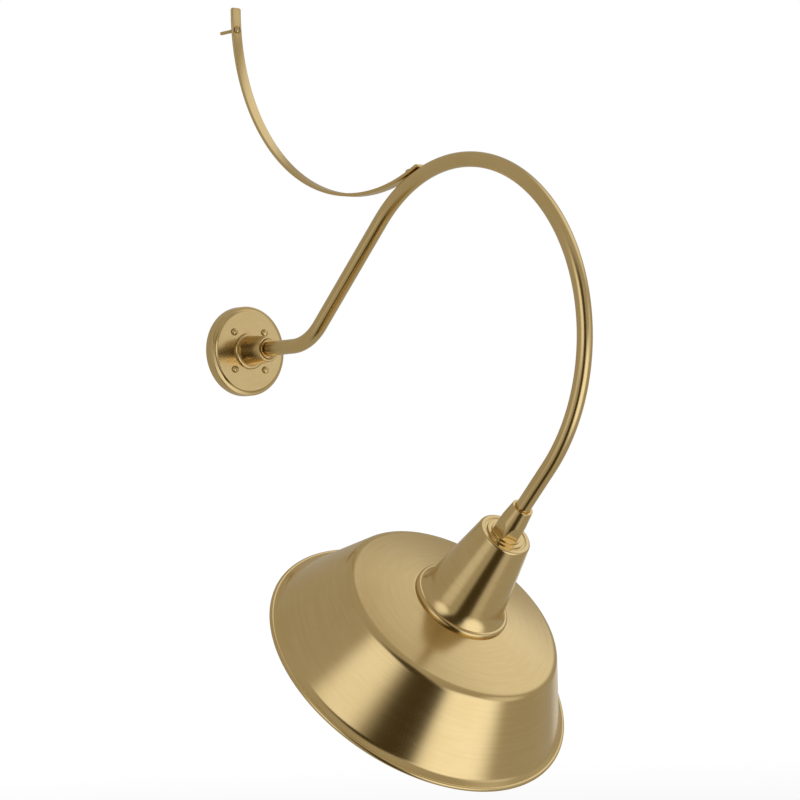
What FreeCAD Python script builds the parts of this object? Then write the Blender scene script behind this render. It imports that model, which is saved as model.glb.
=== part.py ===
"""Gooseneck wall sconce: a round wall plate, a bent tube arm with a flat brace, and a cone shade on a neck.

Millimetres. +Z is up and the wall is the plane Y = 0, with the light on its -Y side. The origin is the
centre of the wall plate's back. The arm bends in the plane X = 0, where d is the distance out from the wall.
"""

import FreeCAD
import Part

import math
import os

Vector = FreeCAD.Vector

# ---- driving dimensions --------------------------------------------------------------------------

# Clearances
slip = 0.05                 # radial, round a screw or tube in its own hole
pocket_gap = 0.1            # round a part that lies in a pocket
contact_gap = 0.3           # between the lamp and the piece it screws down on

# Wall plate, dished, with a raised face
plate_d = 118.0
plate_rim_depth = 13.8      # wall to the front corner of the outer rim
plate_cove_depth = 14.6     # wall to the foot of the cove that rises to the face
plate_depth = 17.3          # wall to the front of the face
plate_rim_wall = 2.2
plate_face_wall = 3.0
plate_face_d = 105.8
plate_step = 1.5            # from the face's edge out to the foot of the cove
plate_rim_round = 1.4
plate_cove_round = 2.4
plate_face_round = 1.2
plate_screw_pcd = 69.85     # the usual spacing of ceiling and wall box screws
plate_screw_d = 4.17
plate_screw_plain_d = 4.8   # the plain part of its shank, in the plate's hole
plate_screw_head_d = 9.6
plate_screw_head_h = 3.6
plate_screw_beyond = 19.0   # how far the screws stand out behind the wall plane
gasket_width = 4.0
gasket_thickness = 3.0
earth_boss_x = 33.0
earth_boss_z = -8.0
earth_boss_d = 9.0

# Hub on the plate that holds the arm
hub_foot_d = 48.6
hub_foot_h = 3.4
hub_base_d = 40.0
hub_tip_d = 33.6
hub_length = 41.0           # plate face to the hub's tip
hub_rim_width = 2.8
hub_recess_depth = 1.6
hub_collar_d = 25.6
hub_collar_h = 1.6          # above the tip's rim
hub_collar_width = 1.5
hub_spigot_d = 22.0
hub_bore_d = 16.0
hub_nut_flats = 30.0
hub_nut_h = 3.5

# Arm tube
tube_d = 19.05
tube_wall = 1.6
tube_start = 24.0           # from the wall, inside the hub
arm_reach = 110.5           # wall to the first bend
arm_bend_r = 83.4
arm_rise = 43.6             # degrees above level after the first bend
arm_slope_length = 176.9
arm_crook_r = 221.5
arm_crook_angle = 180.2     # degrees
arm_drop = 66.4             # straight below the crook, to the coupling's top
tube_in_coupling = 18.0

# Brace strap from the wall to the top of the arm
strap_width = 15.0
strap_thickness = 4.3
strap_flat = 10.95          # its straight end on the wall, above the curve
strap_touch_angle = 21.6    # degrees up the crook, where the strap lies on the tube
strap_tail = 15.0           # past the touching point
strap_corner_r = 3.0
strap_edge_round = 1.4
strap_wall_screw_down = 29.9
strap_arm_screw_back = 7.0
strap_screw_d = 5.0         # in the strap
strap_screw_head_d = 10.4
strap_screw_head_h = 3.8
wall_screw_d = 4.6          # in the wall
wall_screw_beyond = 32.0
plain_beyond = 0.5          # how far a screw's plain shank stands out of the piece it holds
arm_screw_length = 12.0
insert_d = 7.2              # threaded insert in the arm's wall
insert_length = 6.0
insert_collar_d = 9.2
insert_collar_h = 1.2

# Coupling between arm and head
coupling_length = 43.8
coupling_top_d = 27.0
coupling_bottom_d = 37.8
coupling_flats = 32.6       # across the six wrench flats
coupling_turn = 51.5        # degrees from the X axis to the first flat
coupling_thread_depth = 11.0
coupling_base_d = 38.4      # the round foot under the flats
coupling_base_h = 1.6
seat_ring_d = 49.0
seat_ring_h = 2.0

# Neck
neck_top_d = 67.2
neck_groove_d = 55.4
neck_recess = 1.0
neck_height = 118.4
neck_wall = 1.6
neck_top_wall = 2.5
neck_foot_d = 123.6
neck_bead_h = 6.2
neck_crease_d = 114.6       # where the wall meets the bead
neck_cove_d = 103.0         # where the straight wall turns out to the bead
neck_cove_h = 7.6           # from there to the bead
neck_cove_round = 32.0
neck_flange_wall = 4.0
neck_flange_bore = 96.0

# Shade, a spun sheet with a rolled rim
shade_d = 406.4
shade_height = 118.7
shade_wall = 1.2
shade_bead_d = 6.0
shade_bore = 92.0
crown_flat_d = 124.0
crown_edge_round = 20.0
crown_rise_d = 204.0        # where the crown has dropped by crown_drop
crown_drop = 8.45
crown_bend = 20.0           # from the middle of the crown's bend to each of its ends
shoulder_d = 284.6
shoulder_drop = 18.5
shoulder_round = 15.0
cone_end_d = 384.6
cone_end_drop = 108.8
flare_round = 9.0

# Ring and screws that clamp the shade under the neck
clamp_bore = 94.0
clamp_outer = 118.0
clamp_thickness = 2.0
clamp_screw_count = 3
clamp_screw_pcd = 107.0
clamp_screw_d = 4.0
clamp_screw_head_d = 8.0
clamp_screw_head_h = 2.6
clamp_screw_grip = 3.6      # in the neck's flange

# Threaded nipple, nuts, bushing and bracket in the neck
nipple_d = 13.2
nipple_bore = 10.0
nipple_tail = 1.0
nut_flats = 19.0
nut_h = 4.0
bushing_bore = 8.9
bushing_flange_d = 14.4
bushing_flange_h = 1.5
bushing_depth = 5.0
bracket_span = 45.0
bracket_width = 14.0
bracket_wall = 2.0
bracket_leg = 30.0
bracket_screw_d = 4.0
bracket_screw_head_d = 7.6
bracket_screw_head_h = 2.2
bracket_screw_depth = 8.0   # into the porcelain

# Porcelain lampholder
socket_gap = 4.6            # bushing to the porcelain's top
socket_body_d = 40.0
socket_neck_h = 28.0
socket_mouth_d = 46.0
socket_mouth_h = 28.0
socket_floor = 22.0         # porcelain above the cavity
socket_edge_round = 2.0
shell_wall = 0.5
shell_length = 30.0
shell_floor_bore = 13.0
tab_reach = 2.0             # from the axis to the tab's tip
tab_width = 4.0
contact_back = 5.6
contact_front = 0.8
contact_width = 5.0
contact_strip = 0.5
contact_tongue = 2.4
contact_h = 3.6
rivet_d = 2.0
rivet_head_d = 3.6
rivet_head_h = 0.8
rivet_length = 6.0
rivet_radius = 10.0         # from the axis

# Lamp
lamp_cap_d = 26.2
lamp_cap_wall = 0.5
lamp_cap_length = 23.0
lamp_clearance = 0.1        # radial, cap in the screw shell
lamp_contact_d = 7.8
lamp_contact_h = 1.1
lamp_insulator_h = 3.0
lamp_insulator_top_d = 10.0
lamp_collar_d = 26.8
lamp_collar_h = 5.0
lamp_housing_d = 50.0
lamp_housing_h = 30.0
lamp_seat = 2.4
lamp_board_wall = 1.6
lamp_board_d = 42.0
lamp_globe_d = 60.0
lamp_globe_h = 53.0
lamp_globe_wall = 1.6

# Wiring
wire_d = 2.4
wire_spread = 3.2           # of each lead from the arm's plane
wire_bend_r = 7.5
wire_in_block = 3.0
block_pitch = 6.4
block_ways = 3
block_margin = 3.8          # outer way or screw to the block's ends
block_ear = 5.4             # last way to the screw that holds the block
block_height = 12.0
block_depth = 10.0
block_top = -18.0           # below the arm's axis
block_edge_round = 1.0
driver_gap = 0.2            # round a clamp screw's head
block_bore_depth = 5.5      # bore's axis from the block's seat
clamp_block_w = 4.4
clamp_block_l = 8.0
clamp_block_h = 4.6
block_screw_d = 2.4
block_screw_head_d = 3.6
block_screw_head_h = 1.2
mount_screw_d = 2.9
mount_screw_head_d = 4.4
mount_screw_head_h = 1.4
mount_screw_grip = 2.2      # into the plate's face
earth_bend_r = 6.0
earth_lug_d = 9.0
earth_lug_wall = 0.8
earth_barrel_d = 3.6
earth_barrel_length = 6.0
earth_screw_d = 4.0
earth_screw_head_d = 7.6
earth_screw_head_h = 2.4
earth_screw_grip = 4.0

# ---- places worked out from them -----------------------------------------------------------------

tube_r = tube_d / 2
back_of_face = plate_depth - plate_face_wall
wire_plane = back_of_face - block_bore_depth
seat_s = coupling_length + seat_ring_h          # floor of the recess in the neck's top
neck_top_s = seat_s - neck_recess
foot_s = neck_top_s + neck_height               # neck's foot on the shade's crown
under_top_s = seat_s + neck_top_wall
bracket_s = under_top_s + nut_h
second_nut_s = bracket_s + bracket_wall
nipple_end_s = second_nut_s + nut_h + nipple_tail
bushing_end_s = nipple_end_s + bushing_flange_h
socket_s = bushing_end_s + socket_gap
floor_s = socket_s + socket_floor
shell_r = lamp_cap_d / 2 + lamp_clearance + shell_wall
lamp_s = floor_s + contact_h + contact_gap      # tip of the lamp's contact
lamp_cap_s = lamp_s + lamp_contact_h + lamp_insulator_h
lamp_collar_s = lamp_cap_s + lamp_cap_length
lamp_globe_s = lamp_collar_s + lamp_collar_h + lamp_housing_h


# ---- drawing helpers -----------------------------------------------------------------------------

def corner_arc(before, corner, after, radius):
    """Start, middle and end of the arc that rounds a corner."""
    back = (before - corner).normalize()
    ahead = (after - corner).normalize()
    half = back.getAngle(ahead) / 2
    middle = (back + ahead).normalize()
    reach = radius / math.tan(half)
    centre = corner + middle * (radius / math.sin(half))
    return corner + back * reach, centre - middle * radius, corner + ahead * reach


def closed_outline(points):
    """Closed wire through (x, z) or (x, z, corner radius) points in the plane Y = 0."""
    corners = [Vector(p[0], 0, p[1]) for p in points]
    radii = [p[2] if len(p) > 2 else 0 for p in points]
    edges = []
    entries = []
    exits = []
    arcs = []
    for i, corner in enumerate(corners):
        if radii[i] > 0:
            after = corners[(i + 1) % len(corners)]
            entry, middle, leave = corner_arc(corners[i - 1], corner, after, radii[i])
            arcs.append(Part.Arc(entry, middle, leave).toShape())
        else:
            entry = leave = corner
            arcs.append(None)
        entries.append(entry)
        exits.append(leave)
    for i, arc in enumerate(arcs):
        if arc:
            edges.append(arc)
        start = exits[i]
        end = entries[(i + 1) % len(corners)]
        if start.distanceToPoint(end) > 1e-6:
            edges.append(Part.makeLine(start, end))
    return Part.Wire(edges)


def turned(points):
    """Solid of revolution about the local Z axis, from an (r, z) outline."""
    solid = Part.Face(closed_outline(points)).revolve(Vector(), Vector(0, 0, 1), 360)
    return Part.makeSolid(solid) if solid.ShapeType != "Solid" else solid


def bend_radius(before, corner, after, reach):
    """Radius of the arc that rounds a corner of an (r, z) outline and starts reach away from it."""
    way_in = math.atan2(corner[1] - before[1], corner[0] - before[0])
    way_out = math.atan2(after[1] - corner[1], after[0] - corner[0])
    return reach / math.tan(abs(way_out - way_in) / 2)


def sheet_points(points, thickness):
    """Closed outline of a sheet: its outer (r, z, radius) points, and the same line thickness further in."""
    normals = []
    for a, b in zip(points, points[1:]):
        length = math.hypot(b[0] - a[0], b[1] - a[1])
        normals.append((-(b[1] - a[1]) / length, (b[0] - a[0]) / length))
    inner = []
    for i, point in enumerate(points):
        n1 = normals[max(i - 1, 0)]
        n2 = normals[min(i, len(normals) - 1)]
        mitre = thickness / (1 + n1[0] * n2[0] + n1[1] * n2[1])
        turn = n1[0] * n2[1] - n1[1] * n2[0]
        radius = point[2] if len(point) > 2 else 0
        if radius:
            radius = radius - thickness if turn > 0 else radius + thickness
        inner.append((point[0] + mitre * (n1[0] + n2[0]), point[1] + mitre * (n1[1] + n2[1]), radius))
    return list(points) + inner[::-1]


def rod(diameter, start, end, x=0, y=0):
    """Cylinder along local Z from start to end."""
    return Part.makeCylinder(diameter / 2, end - start, Vector(x, y, start))


def block(x, y, z):
    """Box between (low, high) pairs."""
    return Part.makeBox(x[1] - x[0], y[1] - y[0], z[1] - z[0], Vector(x[0], y[0], z[0]))


def hexagon(flats, start, end):
    """Hexagonal bar along local Z."""
    corner = flats / math.sqrt(3)
    points = [Vector(corner * math.cos(math.radians(60 * k)), corner * math.sin(math.radians(60 * k)), start)
              for k in range(7)]
    return Part.Face(Part.makePolygon(points)).extrude(Vector(0, 0, end - start))


def hex_nut(flats, bore, start, end):
    """Hex nut with its corners chamfered by a double cone."""
    corner = flats / math.sqrt(3)
    drop = (corner - flats / 2) * 0.6
    barrel = turned([(0, start), (flats / 2, start), (corner, start + drop), (corner, end - drop),
                     (flats / 2, end), (0, end)])
    return hexagon(flats, start, end).common(barrel).cut(rod(bore, start, end))


def slotted_screw(shank_d, length, head_d, head_h, plain_d=0, plain=0):
    """Round-head screw: its head stands on local Z = 0 and the shank runs to -length.

    A thicker plain part of the shank, where there is one, runs to -plain.
    """
    rim = head_h * 0.25
    bow = head_d * 0.42
    head = turned([(0, 0), (head_d / 2, 0), (head_d / 2, rim), (bow, head_h * 0.78, head_h * 0.3),
                   (head_d * 0.2, head_h), (0, head_h)])
    upper = [(0, 0), (plain_d / 2, 0), (plain_d / 2, -plain)] if plain else [(0, 0)]
    shank = turned(upper + [(shank_d / 2, -plain), (shank_d / 2, -length + shank_d * 0.3),
                            (shank_d * 0.3, -length), (0, -length)])
    slot = block((-head_d, head_d), (-head_d * 0.07, head_d * 0.07), (head_h * 0.55, head_h * 2))
    return head.fuse(shank).cut(slot).removeSplitter()


def path_place(d, z, slope, x=0):
    """Frame at a point of the arm's plane: its Z axis follows the slope (degrees) and its X axis stays X."""
    return FreeCAD.Placement(Vector(x, -d, z), FreeCAD.Rotation(Vector(1, 0, 0), 90 - slope))


def placed(shape, place):
    moved = shape.copy()
    moved.Placement = place.multiply(moved.Placement)
    return moved


def shift(x, y, z):
    return FreeCAD.Placement(Vector(x, y, z), FreeCAD.Rotation())


def facing_wall(x, y, z):
    """Place on the plate whose Z axis points back at the wall."""
    return FreeCAD.Placement(Vector(x, y, z), FreeCAD.Rotation(Vector(1, 0, 0), 180))


def walk(d, z, slope, moves, x=0):
    """Edges of a route in the arm's plane, and its (d, z, slope) after each move.

    A move is (length,) for a straight run or (radius, degrees) for a bend, positive upwards.
    """
    edges = []
    stations = [(d, z, slope)]
    for move in moves:
        start = Vector(x, -d, z)
        angle = math.radians(slope)
        if len(move) == 1:
            d = d + move[0] * math.cos(angle)
            z = z + move[0] * math.sin(angle)
            edges.append(Part.makeLine(start, Vector(x, -d, z)))
        else:
            radius, degrees = move
            side = 1 if degrees > 0 else -1
            centre_d = d - side * radius * math.sin(angle)
            centre_z = z + side * radius * math.cos(angle)
            marks = []
            for share in (0.5, 1.0):
                turned_to = angle + math.radians(degrees) * share
                marks.append((centre_d + side * radius * math.sin(turned_to),
                              centre_z - side * radius * math.cos(turned_to)))
            d, z = marks[1]
            middle = Vector(x, -marks[0][0], marks[0][1])
            edges.append(Part.Arc(start, middle, Vector(x, -d, z)).toShape())
            slope = slope + degrees
        stations.append((d, z, slope))
    return edges, stations


def swept(edges, diameter):
    """Round bar along a route."""
    first = edges[0]
    start = first.valueAt(first.FirstParameter)
    along = first.tangentAt(first.FirstParameter)
    profile = Part.Wire(Part.makeCircle(diameter / 2, start, along))
    return Part.Wire(edges).makePipeShell([profile], True, False)


def group(shapes):
    return Part.makeCompound(shapes)


# ---- arm route -----------------------------------------------------------------------------------

bends = [(arm_bend_r, arm_rise), (arm_slope_length,), (arm_crook_r, -arm_crook_angle), (arm_drop,)]
arm_stations = walk(arm_reach, 0, 0, bends)[1]
head_d, head_z, head_slope = arm_stations[-1]
head_place = path_place(head_d, head_z, head_slope)
wall_place = path_place(0, 0, 0)

crook_start_d, crook_start_z, crook_slope = arm_stations[2]
crook_centre_d = crook_start_d + arm_crook_r * math.sin(math.radians(crook_slope))
crook_centre_z = crook_start_z - arm_crook_r * math.cos(math.radians(crook_slope))

# The strap's middle line leaves the wall in an arc that touches the outside of the crook.
touch = math.radians(strap_touch_angle)
touch_r = arm_crook_r + tube_r + strap_thickness / 2
strap_arc_r = (crook_centre_d - strap_thickness / 2 - touch_r * math.sin(touch)) / (1 + math.sin(touch))
strap_centre_d = strap_thickness / 2 + strap_arc_r
strap_centre_z = crook_centre_z + (touch_r + strap_arc_r) * math.cos(touch)
touch_turn = 90 + strap_touch_angle
strap_end_turn = touch_turn + math.degrees(strap_tail / strap_arc_r)
arm_screw_turn = touch_turn - math.degrees(strap_arm_screw_back / strap_arc_r)


def strap_point(turn, radius):
    """Point (d, z) at a turn in degrees from where the strap leaves the wall."""
    angle = math.radians(turn)
    return strap_centre_d - radius * math.cos(angle), strap_centre_z - radius * math.sin(angle)


strap_upper_r = strap_arc_r - strap_thickness / 2
head_lift = strap_upper_r - math.sqrt(strap_upper_r ** 2 - (strap_screw_head_d / 2) ** 2)
arm_screw_seat = strap_point(arm_screw_turn, strap_upper_r - head_lift)
arm_screw_place = path_place(arm_screw_seat[0], arm_screw_seat[1], arm_screw_turn)
strap_top = strap_centre_z + strap_flat
wall_screw_z = strap_top - strap_wall_screw_down
below_tangent = strap_centre_z - wall_screw_z + strap_screw_head_d / 2
wall_screw_seat = strap_centre_d - math.sqrt(strap_upper_r ** 2 - below_tangent ** 2)
seat_to_centre = math.hypot(arm_screw_seat[0] - crook_centre_d, arm_screw_seat[1] - crook_centre_z)
arm_depth = seat_to_centre - arm_crook_r        # from the screw's seat to the arm's middle line


def on_circle(pcd, count, first):
    """Local (x, y) of each point of a bolt circle."""
    places = []
    for k in range(count):
        angle = math.radians(first + 360 * k / count)
        places.append((pcd / 2 * math.cos(angle), pcd / 2 * math.sin(angle)))
    return places


plate_screw_places = on_circle(plate_screw_pcd, 4, 45)
clamp_screw_places = on_circle(clamp_screw_pcd, clamp_screw_count, 90)
block_way_x = [-wire_spread + block_pitch * k for k in range(block_ways)]
block_mount_x = block_way_x[-1] + block_ear
block_middle_y = block_top - block_height / 2
block_seat = back_of_face


# ---- pieces on the wall --------------------------------------------------------------------------

def wall_plate():
    rim_r = plate_d / 2
    face_r = plate_face_d / 2
    inner_land = plate_rim_depth - plate_rim_wall
    plate = turned([
        (rim_r - plate_rim_wall, 0),
        (rim_r, 0),
        (rim_r, plate_rim_depth, plate_rim_round),
        (face_r + plate_step, plate_cove_depth, plate_cove_round),
        (face_r, plate_depth, plate_face_round),
        (hub_spigot_d / 2 + slip, plate_depth),
        (hub_spigot_d / 2 + slip, back_of_face),
        (face_r - plate_rim_wall, back_of_face, 0.8),
        (face_r - plate_rim_wall + plate_step, inner_land, 0.6),
        (rim_r - plate_rim_wall, inner_land, 0.4),
    ])
    for x, y in plate_screw_places:
        plate = plate.cut(rod(plate_screw_plain_d + 2 * slip, 0, plate_depth + 1, x, y))
    boss_front = wire_plane + earth_lug_wall / 2
    boss = rod(earth_boss_d, boss_front, plate_depth - plate_face_wall / 2, earth_boss_x, earth_boss_z)
    plate = plate.fuse(boss)
    plate = plate.cut(rod(earth_screw_d + 2 * slip, boss_front - 1, boss_front + earth_screw_grip + 1,
                          earth_boss_x, earth_boss_z))
    mount_end = back_of_face + mount_screw_grip + pocket_gap
    plate = plate.cut(rod(mount_screw_d + 2 * slip, back_of_face - 1, mount_end,
                          block_mount_x, block_middle_y))
    return placed(plate.removeSplitter(), wall_place)


def plate_gasket():
    outer = plate_d / 2 - plate_rim_wall - pocket_gap
    ring = turned([(outer - gasket_width, 0), (outer, 0), (outer, gasket_thickness),
                   (outer - gasket_width, gasket_thickness)])
    return placed(ring, wall_place)


def plate_screws():
    screw = slotted_screw(plate_screw_d, plate_depth + plate_screw_beyond, plate_screw_head_d,
                          plate_screw_head_h, plate_screw_plain_d, plate_face_wall + plain_beyond)
    places = [wall_place.multiply(shift(x, y, plate_depth)) for x, y in plate_screw_places]
    return group([placed(screw, place) for place in places])


def arm_hub():
    foot_r = hub_foot_d / 2
    tip = plate_depth + hub_length
    tip_r = hub_tip_d / 2
    collar_r = hub_collar_d / 2
    recess = tip - hub_recess_depth
    spigot_end = back_of_face - hub_nut_h
    body_base = plate_depth + hub_foot_h + 1.2
    hub = turned([
        (hub_bore_d / 2, spigot_end),
        (hub_spigot_d / 2, spigot_end),
        (hub_spigot_d / 2, plate_depth),
        (foot_r, plate_depth, 0.6),
        (foot_r, plate_depth + hub_foot_h, 2.4),
        (foot_r - 4.2, plate_depth + hub_foot_h, 0.5),
        (foot_r - 4.8, plate_depth + hub_foot_h - 0.9, 0.3),
        (hub_base_d / 2, body_base, 0.5),
        (tip_r, tip, 1.4),
        (tip_r - hub_rim_width, tip, 0.4),
        (collar_r + 0.2, recess),
        (collar_r, tip + hub_collar_h, 0.6),
        (collar_r - hub_collar_width, tip + hub_collar_h, 0.4),
        (collar_r - hub_collar_width, recess),
        (tube_r + slip, recess),
        (tube_r + slip, tube_start),
        (hub_bore_d / 2, tube_start),
    ])
    return placed(hub, wall_place)


def hub_locknut():
    nut = hex_nut(hub_nut_flats, hub_spigot_d + 2 * slip, back_of_face - hub_nut_h, back_of_face)
    return placed(nut, wall_place)


def brace_strap():
    half = strap_thickness / 2
    outer_r = strap_arc_r + half
    inner_r = strap_arc_r - half

    def at(turn, radius):
        d, z = strap_point(turn, radius)
        return Vector(-strap_width / 2, -d, z)

    top_back = Vector(-strap_width / 2, 0, strap_top)
    top_front = Vector(-strap_width / 2, -strap_thickness, strap_top)
    edges = [
        Part.makeLine(top_back, at(0, outer_r)),
        Part.Arc(at(0, outer_r), at(strap_end_turn / 2, outer_r), at(strap_end_turn, outer_r)).toShape(),
        Part.makeLine(at(strap_end_turn, outer_r), at(strap_end_turn, inner_r)),
        Part.Arc(at(strap_end_turn, inner_r), at(strap_end_turn / 2, inner_r), at(0, inner_r)).toShape(),
        Part.makeLine(at(0, inner_r), top_front),
        Part.makeLine(top_front, top_back),
    ]
    strap = Part.Face(Part.Wire(edges)).extrude(Vector(strap_width, 0, 0))
    ends = []
    for edge in strap.Edges:
        middle = edge.CenterOfMass
        across = edge.BoundBox.XLength < 0.01 and edge.Length < strap_thickness * 1.5
        if across and abs(abs(middle.x) - strap_width / 2) < 0.01:
            ends.append(edge)
    strap = strap.makeFillet(strap_corner_r, ends)
    rims = []
    for edge in strap.Edges:
        spans = edge.BoundBox
        across = spans.XLength < 0.01 and edge.Length < strap_thickness * 1.2
        seam = spans.XLength > strap_width - 0.01 and spans.ZLength < 0.01 and spans.YLength < 0.01
        if not across and not seam:
            rims.append(edge)
    strap = strap.makeFillet(min(strap_edge_round, strap_thickness * 0.4), rims)
    hole = rod(strap_screw_d + 2 * slip, -1, wall_screw_seat + 1)
    strap = strap.cut(placed(hole, path_place(0, wall_screw_z, 0)))
    through = rod(strap_screw_d + 2 * slip, -strap_thickness - 1, 1)
    return strap.cut(placed(through, arm_screw_place))


def brace_wall_screw():
    screw = slotted_screw(wall_screw_d, wall_screw_seat + wall_screw_beyond, strap_screw_head_d,
                          strap_screw_head_h, strap_screw_d, wall_screw_seat + plain_beyond)
    return placed(screw, path_place(wall_screw_seat, wall_screw_z, 0))


def brace_arm_screw():
    screw = slotted_screw(strap_screw_d, arm_screw_length, strap_screw_head_d, strap_screw_head_h)
    return placed(screw, arm_screw_place)


def arm_insert():
    """Threaded insert in the tube's wall, under the strap."""
    top = tube_r - arm_depth - contact_gap
    inside = math.sqrt((tube_r - tube_wall) ** 2 - (insert_collar_d / 2) ** 2)
    collar_top = inside - arm_depth - pocket_gap
    insert = rod(insert_d, top - insert_length, top).fuse(
        rod(insert_collar_d, collar_top - insert_collar_h, collar_top))
    bore = rod(strap_screw_d + 2 * slip, top - insert_length - 1, top + 1)
    return placed(insert.cut(bore).removeSplitter(), arm_screw_place)


# ---- arm and its wiring --------------------------------------------------------------------------

def gooseneck_tube():
    moves = [(arm_reach - tube_start,)] + bends[:-1] + [(arm_drop + tube_in_coupling,)]
    edges = walk(tube_start, 0, 0, moves)[0]
    tube = swept(edges, tube_d).cut(swept(edges, tube_d - 2 * tube_wall))
    hole = rod(insert_d + 2 * slip, -arm_depth, 1)
    return tube.cut(placed(hole, arm_screw_place))


def lead(x, end_s):
    """A lead from the terminal block up into the hub, through the arm, to end_s in the head."""
    start_z = block_top - wire_in_block
    moves = [(-wire_bend_r - start_z,), (wire_bend_r, -90), (arm_reach - wire_plane - wire_bend_r,)]
    moves = moves + bends[:-1] + [(arm_drop + end_s,)]
    return swept(walk(wire_plane, start_z, 90, moves, x)[0], wire_d)


def live_lead():
    return lead(-wire_spread, floor_s)


def neutral_lead():
    return lead(wire_spread, floor_s)


def earth_lead():
    """From the block's last way, round to the lug on the plate's boss."""
    x = block_way_x[-1]
    start = Vector(x, block_top - wire_in_block, wire_plane)
    bend_y = earth_boss_z - earth_bend_r
    before = Vector(x, bend_y, wire_plane)
    after = Vector(x + earth_bend_r, earth_boss_z, wire_plane)
    centre = Vector(x + earth_bend_r, bend_y, wire_plane)
    middle = centre + Vector(-1, 1, 0).normalize() * earth_bend_r
    end = Vector(earth_boss_x - earth_lug_d / 2 - 1.0, earth_boss_z, wire_plane)
    bend = Part.Arc(before, middle, after).toShape()
    route = [Part.makeLine(start, before), bend, Part.makeLine(after, end)]
    return placed(swept(route, wire_d), wall_place)


def earth_lug():
    low = wire_plane - earth_lug_wall / 2
    high = wire_plane + earth_lug_wall / 2
    ring = rod(earth_lug_d, low, high, earth_boss_x, earth_boss_z)
    barrel_end = earth_boss_x - earth_lug_d / 2 - 0.6
    across = FreeCAD.Placement(Vector(barrel_end, earth_boss_z, wire_plane),
                               FreeCAD.Rotation(Vector(0, 1, 0), -90))
    barrel = placed(rod(earth_barrel_d, 0, earth_barrel_length), across)
    web = block((barrel_end - 0.2, earth_boss_x), (earth_boss_z - 1.6, earth_boss_z + 1.6), (low, high))
    hollow = placed(rod(wire_d + 2 * slip, 0.3, earth_barrel_length + 1), across)
    hole = rod(earth_screw_d + 2 * slip, low - 1, high + 1, earth_boss_x, earth_boss_z)
    return placed(ring.fuse([barrel, web]).cut(hollow).cut(hole).removeSplitter(), wall_place)


def earth_screw():
    length = earth_lug_wall + earth_screw_grip
    screw = slotted_screw(earth_screw_d, length, earth_screw_head_d, earth_screw_head_h)
    seat = wire_plane - earth_lug_wall / 2
    return placed(screw, wall_place.multiply(facing_wall(earth_boss_x, earth_boss_z, seat)))


def clamp_span_y():
    return (block_middle_y - clamp_block_l / 2, block_middle_y + clamp_block_l / 2)


def terminal_block():
    low_x = block_way_x[0] - block_margin
    high_x = block_mount_x + block_margin
    back = block_seat - block_depth
    body = block((low_x, high_x), (block_top - block_height, block_top), (back, block_seat))
    edges = [e for e in body.Edges if e.BoundBox.YLength > block_height / 2 and e.CenterOfMass.z < back + 0.1]
    body = body.makeFillet(block_edge_round, edges)
    y0, y1 = clamp_span_y()
    for x in block_way_x:
        half = clamp_block_w / 2 + pocket_gap
        body = body.cut(block((x - half, x + half), (y0 - pocket_gap, y1 + pocket_gap),
                              (wire_plane - clamp_block_h / 2 - pocket_gap,
                               wire_plane + clamp_block_h / 2 + pocket_gap)))
        entry = Vector(x, block_top - block_height - 1, wire_plane)
        body = body.cut(Part.makeCylinder(wire_d / 2 + slip, block_height + 2, entry, Vector(0, 1, 0)))
        body = body.cut(rod(block_screw_head_d + 2 * driver_gap, back - 1, wire_plane, x, block_middle_y))
    body = body.cut(rod(mount_screw_d + 2 * slip, 0, block_seat, block_mount_x, block_middle_y))
    return placed(body, wall_place)


def terminal_clamps():
    y0, y1 = clamp_span_y()
    clamps = []
    for x in block_way_x:
        half = clamp_block_w / 2
        span_z = (wire_plane - clamp_block_h / 2, wire_plane + clamp_block_h / 2)
        body = block((x - half, x + half), (y0, y1), span_z)
        bore = Part.makeCylinder(wire_d / 2 + slip, clamp_block_l + 2, Vector(x, y0 - 1, wire_plane),
                                 Vector(0, 1, 0))
        tapped = rod(block_screw_d + 2 * slip, wire_plane - clamp_block_h, wire_plane, x, block_middle_y)
        clamps.append(placed(body.cut(bore).cut(tapped), wall_place))
    return group(clamps)


def terminal_screws():
    grip = clamp_block_h / 2 - wire_d / 2 - slip
    screws = []
    for x in block_way_x:
        seat = wire_plane - clamp_block_h / 2 - pocket_gap
        screw = slotted_screw(block_screw_d, grip + pocket_gap, block_screw_head_d, block_screw_head_h)
        screws.append(placed(screw, wall_place.multiply(facing_wall(x, block_middle_y, seat))))
    return group(screws)


def block_mount_screw():
    length = block_depth + mount_screw_grip
    screw = slotted_screw(mount_screw_d, length, mount_screw_head_d, mount_screw_head_h)
    seat = block_seat - block_depth
    return placed(screw, wall_place.multiply(facing_wall(block_mount_x, block_middle_y, seat)))


# ---- head ----------------------------------------------------------------------------------------

def arm_coupling():
    bore_end = tube_in_coupling + pocket_gap
    thread_top = coupling_length - coupling_thread_depth
    cone = turned([
        (tube_r + slip, 0.6),
        (tube_r + 0.9, 0),
        (coupling_top_d / 2, 0, 0.8),
        (coupling_bottom_d / 2, coupling_length, 0.5),
        (nipple_d / 2 + slip, coupling_length),
        (nipple_d / 2 + slip, thread_top),
        (nipple_bore / 2, thread_top),
        (nipple_bore / 2, bore_end),
        (tube_r + slip, bore_end),
    ])
    bar = hexagon(coupling_flats, -1, coupling_length + 1)
    bar.rotate(Vector(), Vector(0, 0, 1), coupling_turn + 30)
    base = turned([
        (nipple_d / 2 + slip, coupling_length - coupling_base_h),
        (coupling_base_d / 2, coupling_length - coupling_base_h, 0.5),
        (coupling_base_d / 2, coupling_length, 0.4),
        (nipple_d / 2 + slip, coupling_length),
    ])
    return placed(cone.common(bar).fuse(base).removeSplitter(), head_place)


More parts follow.
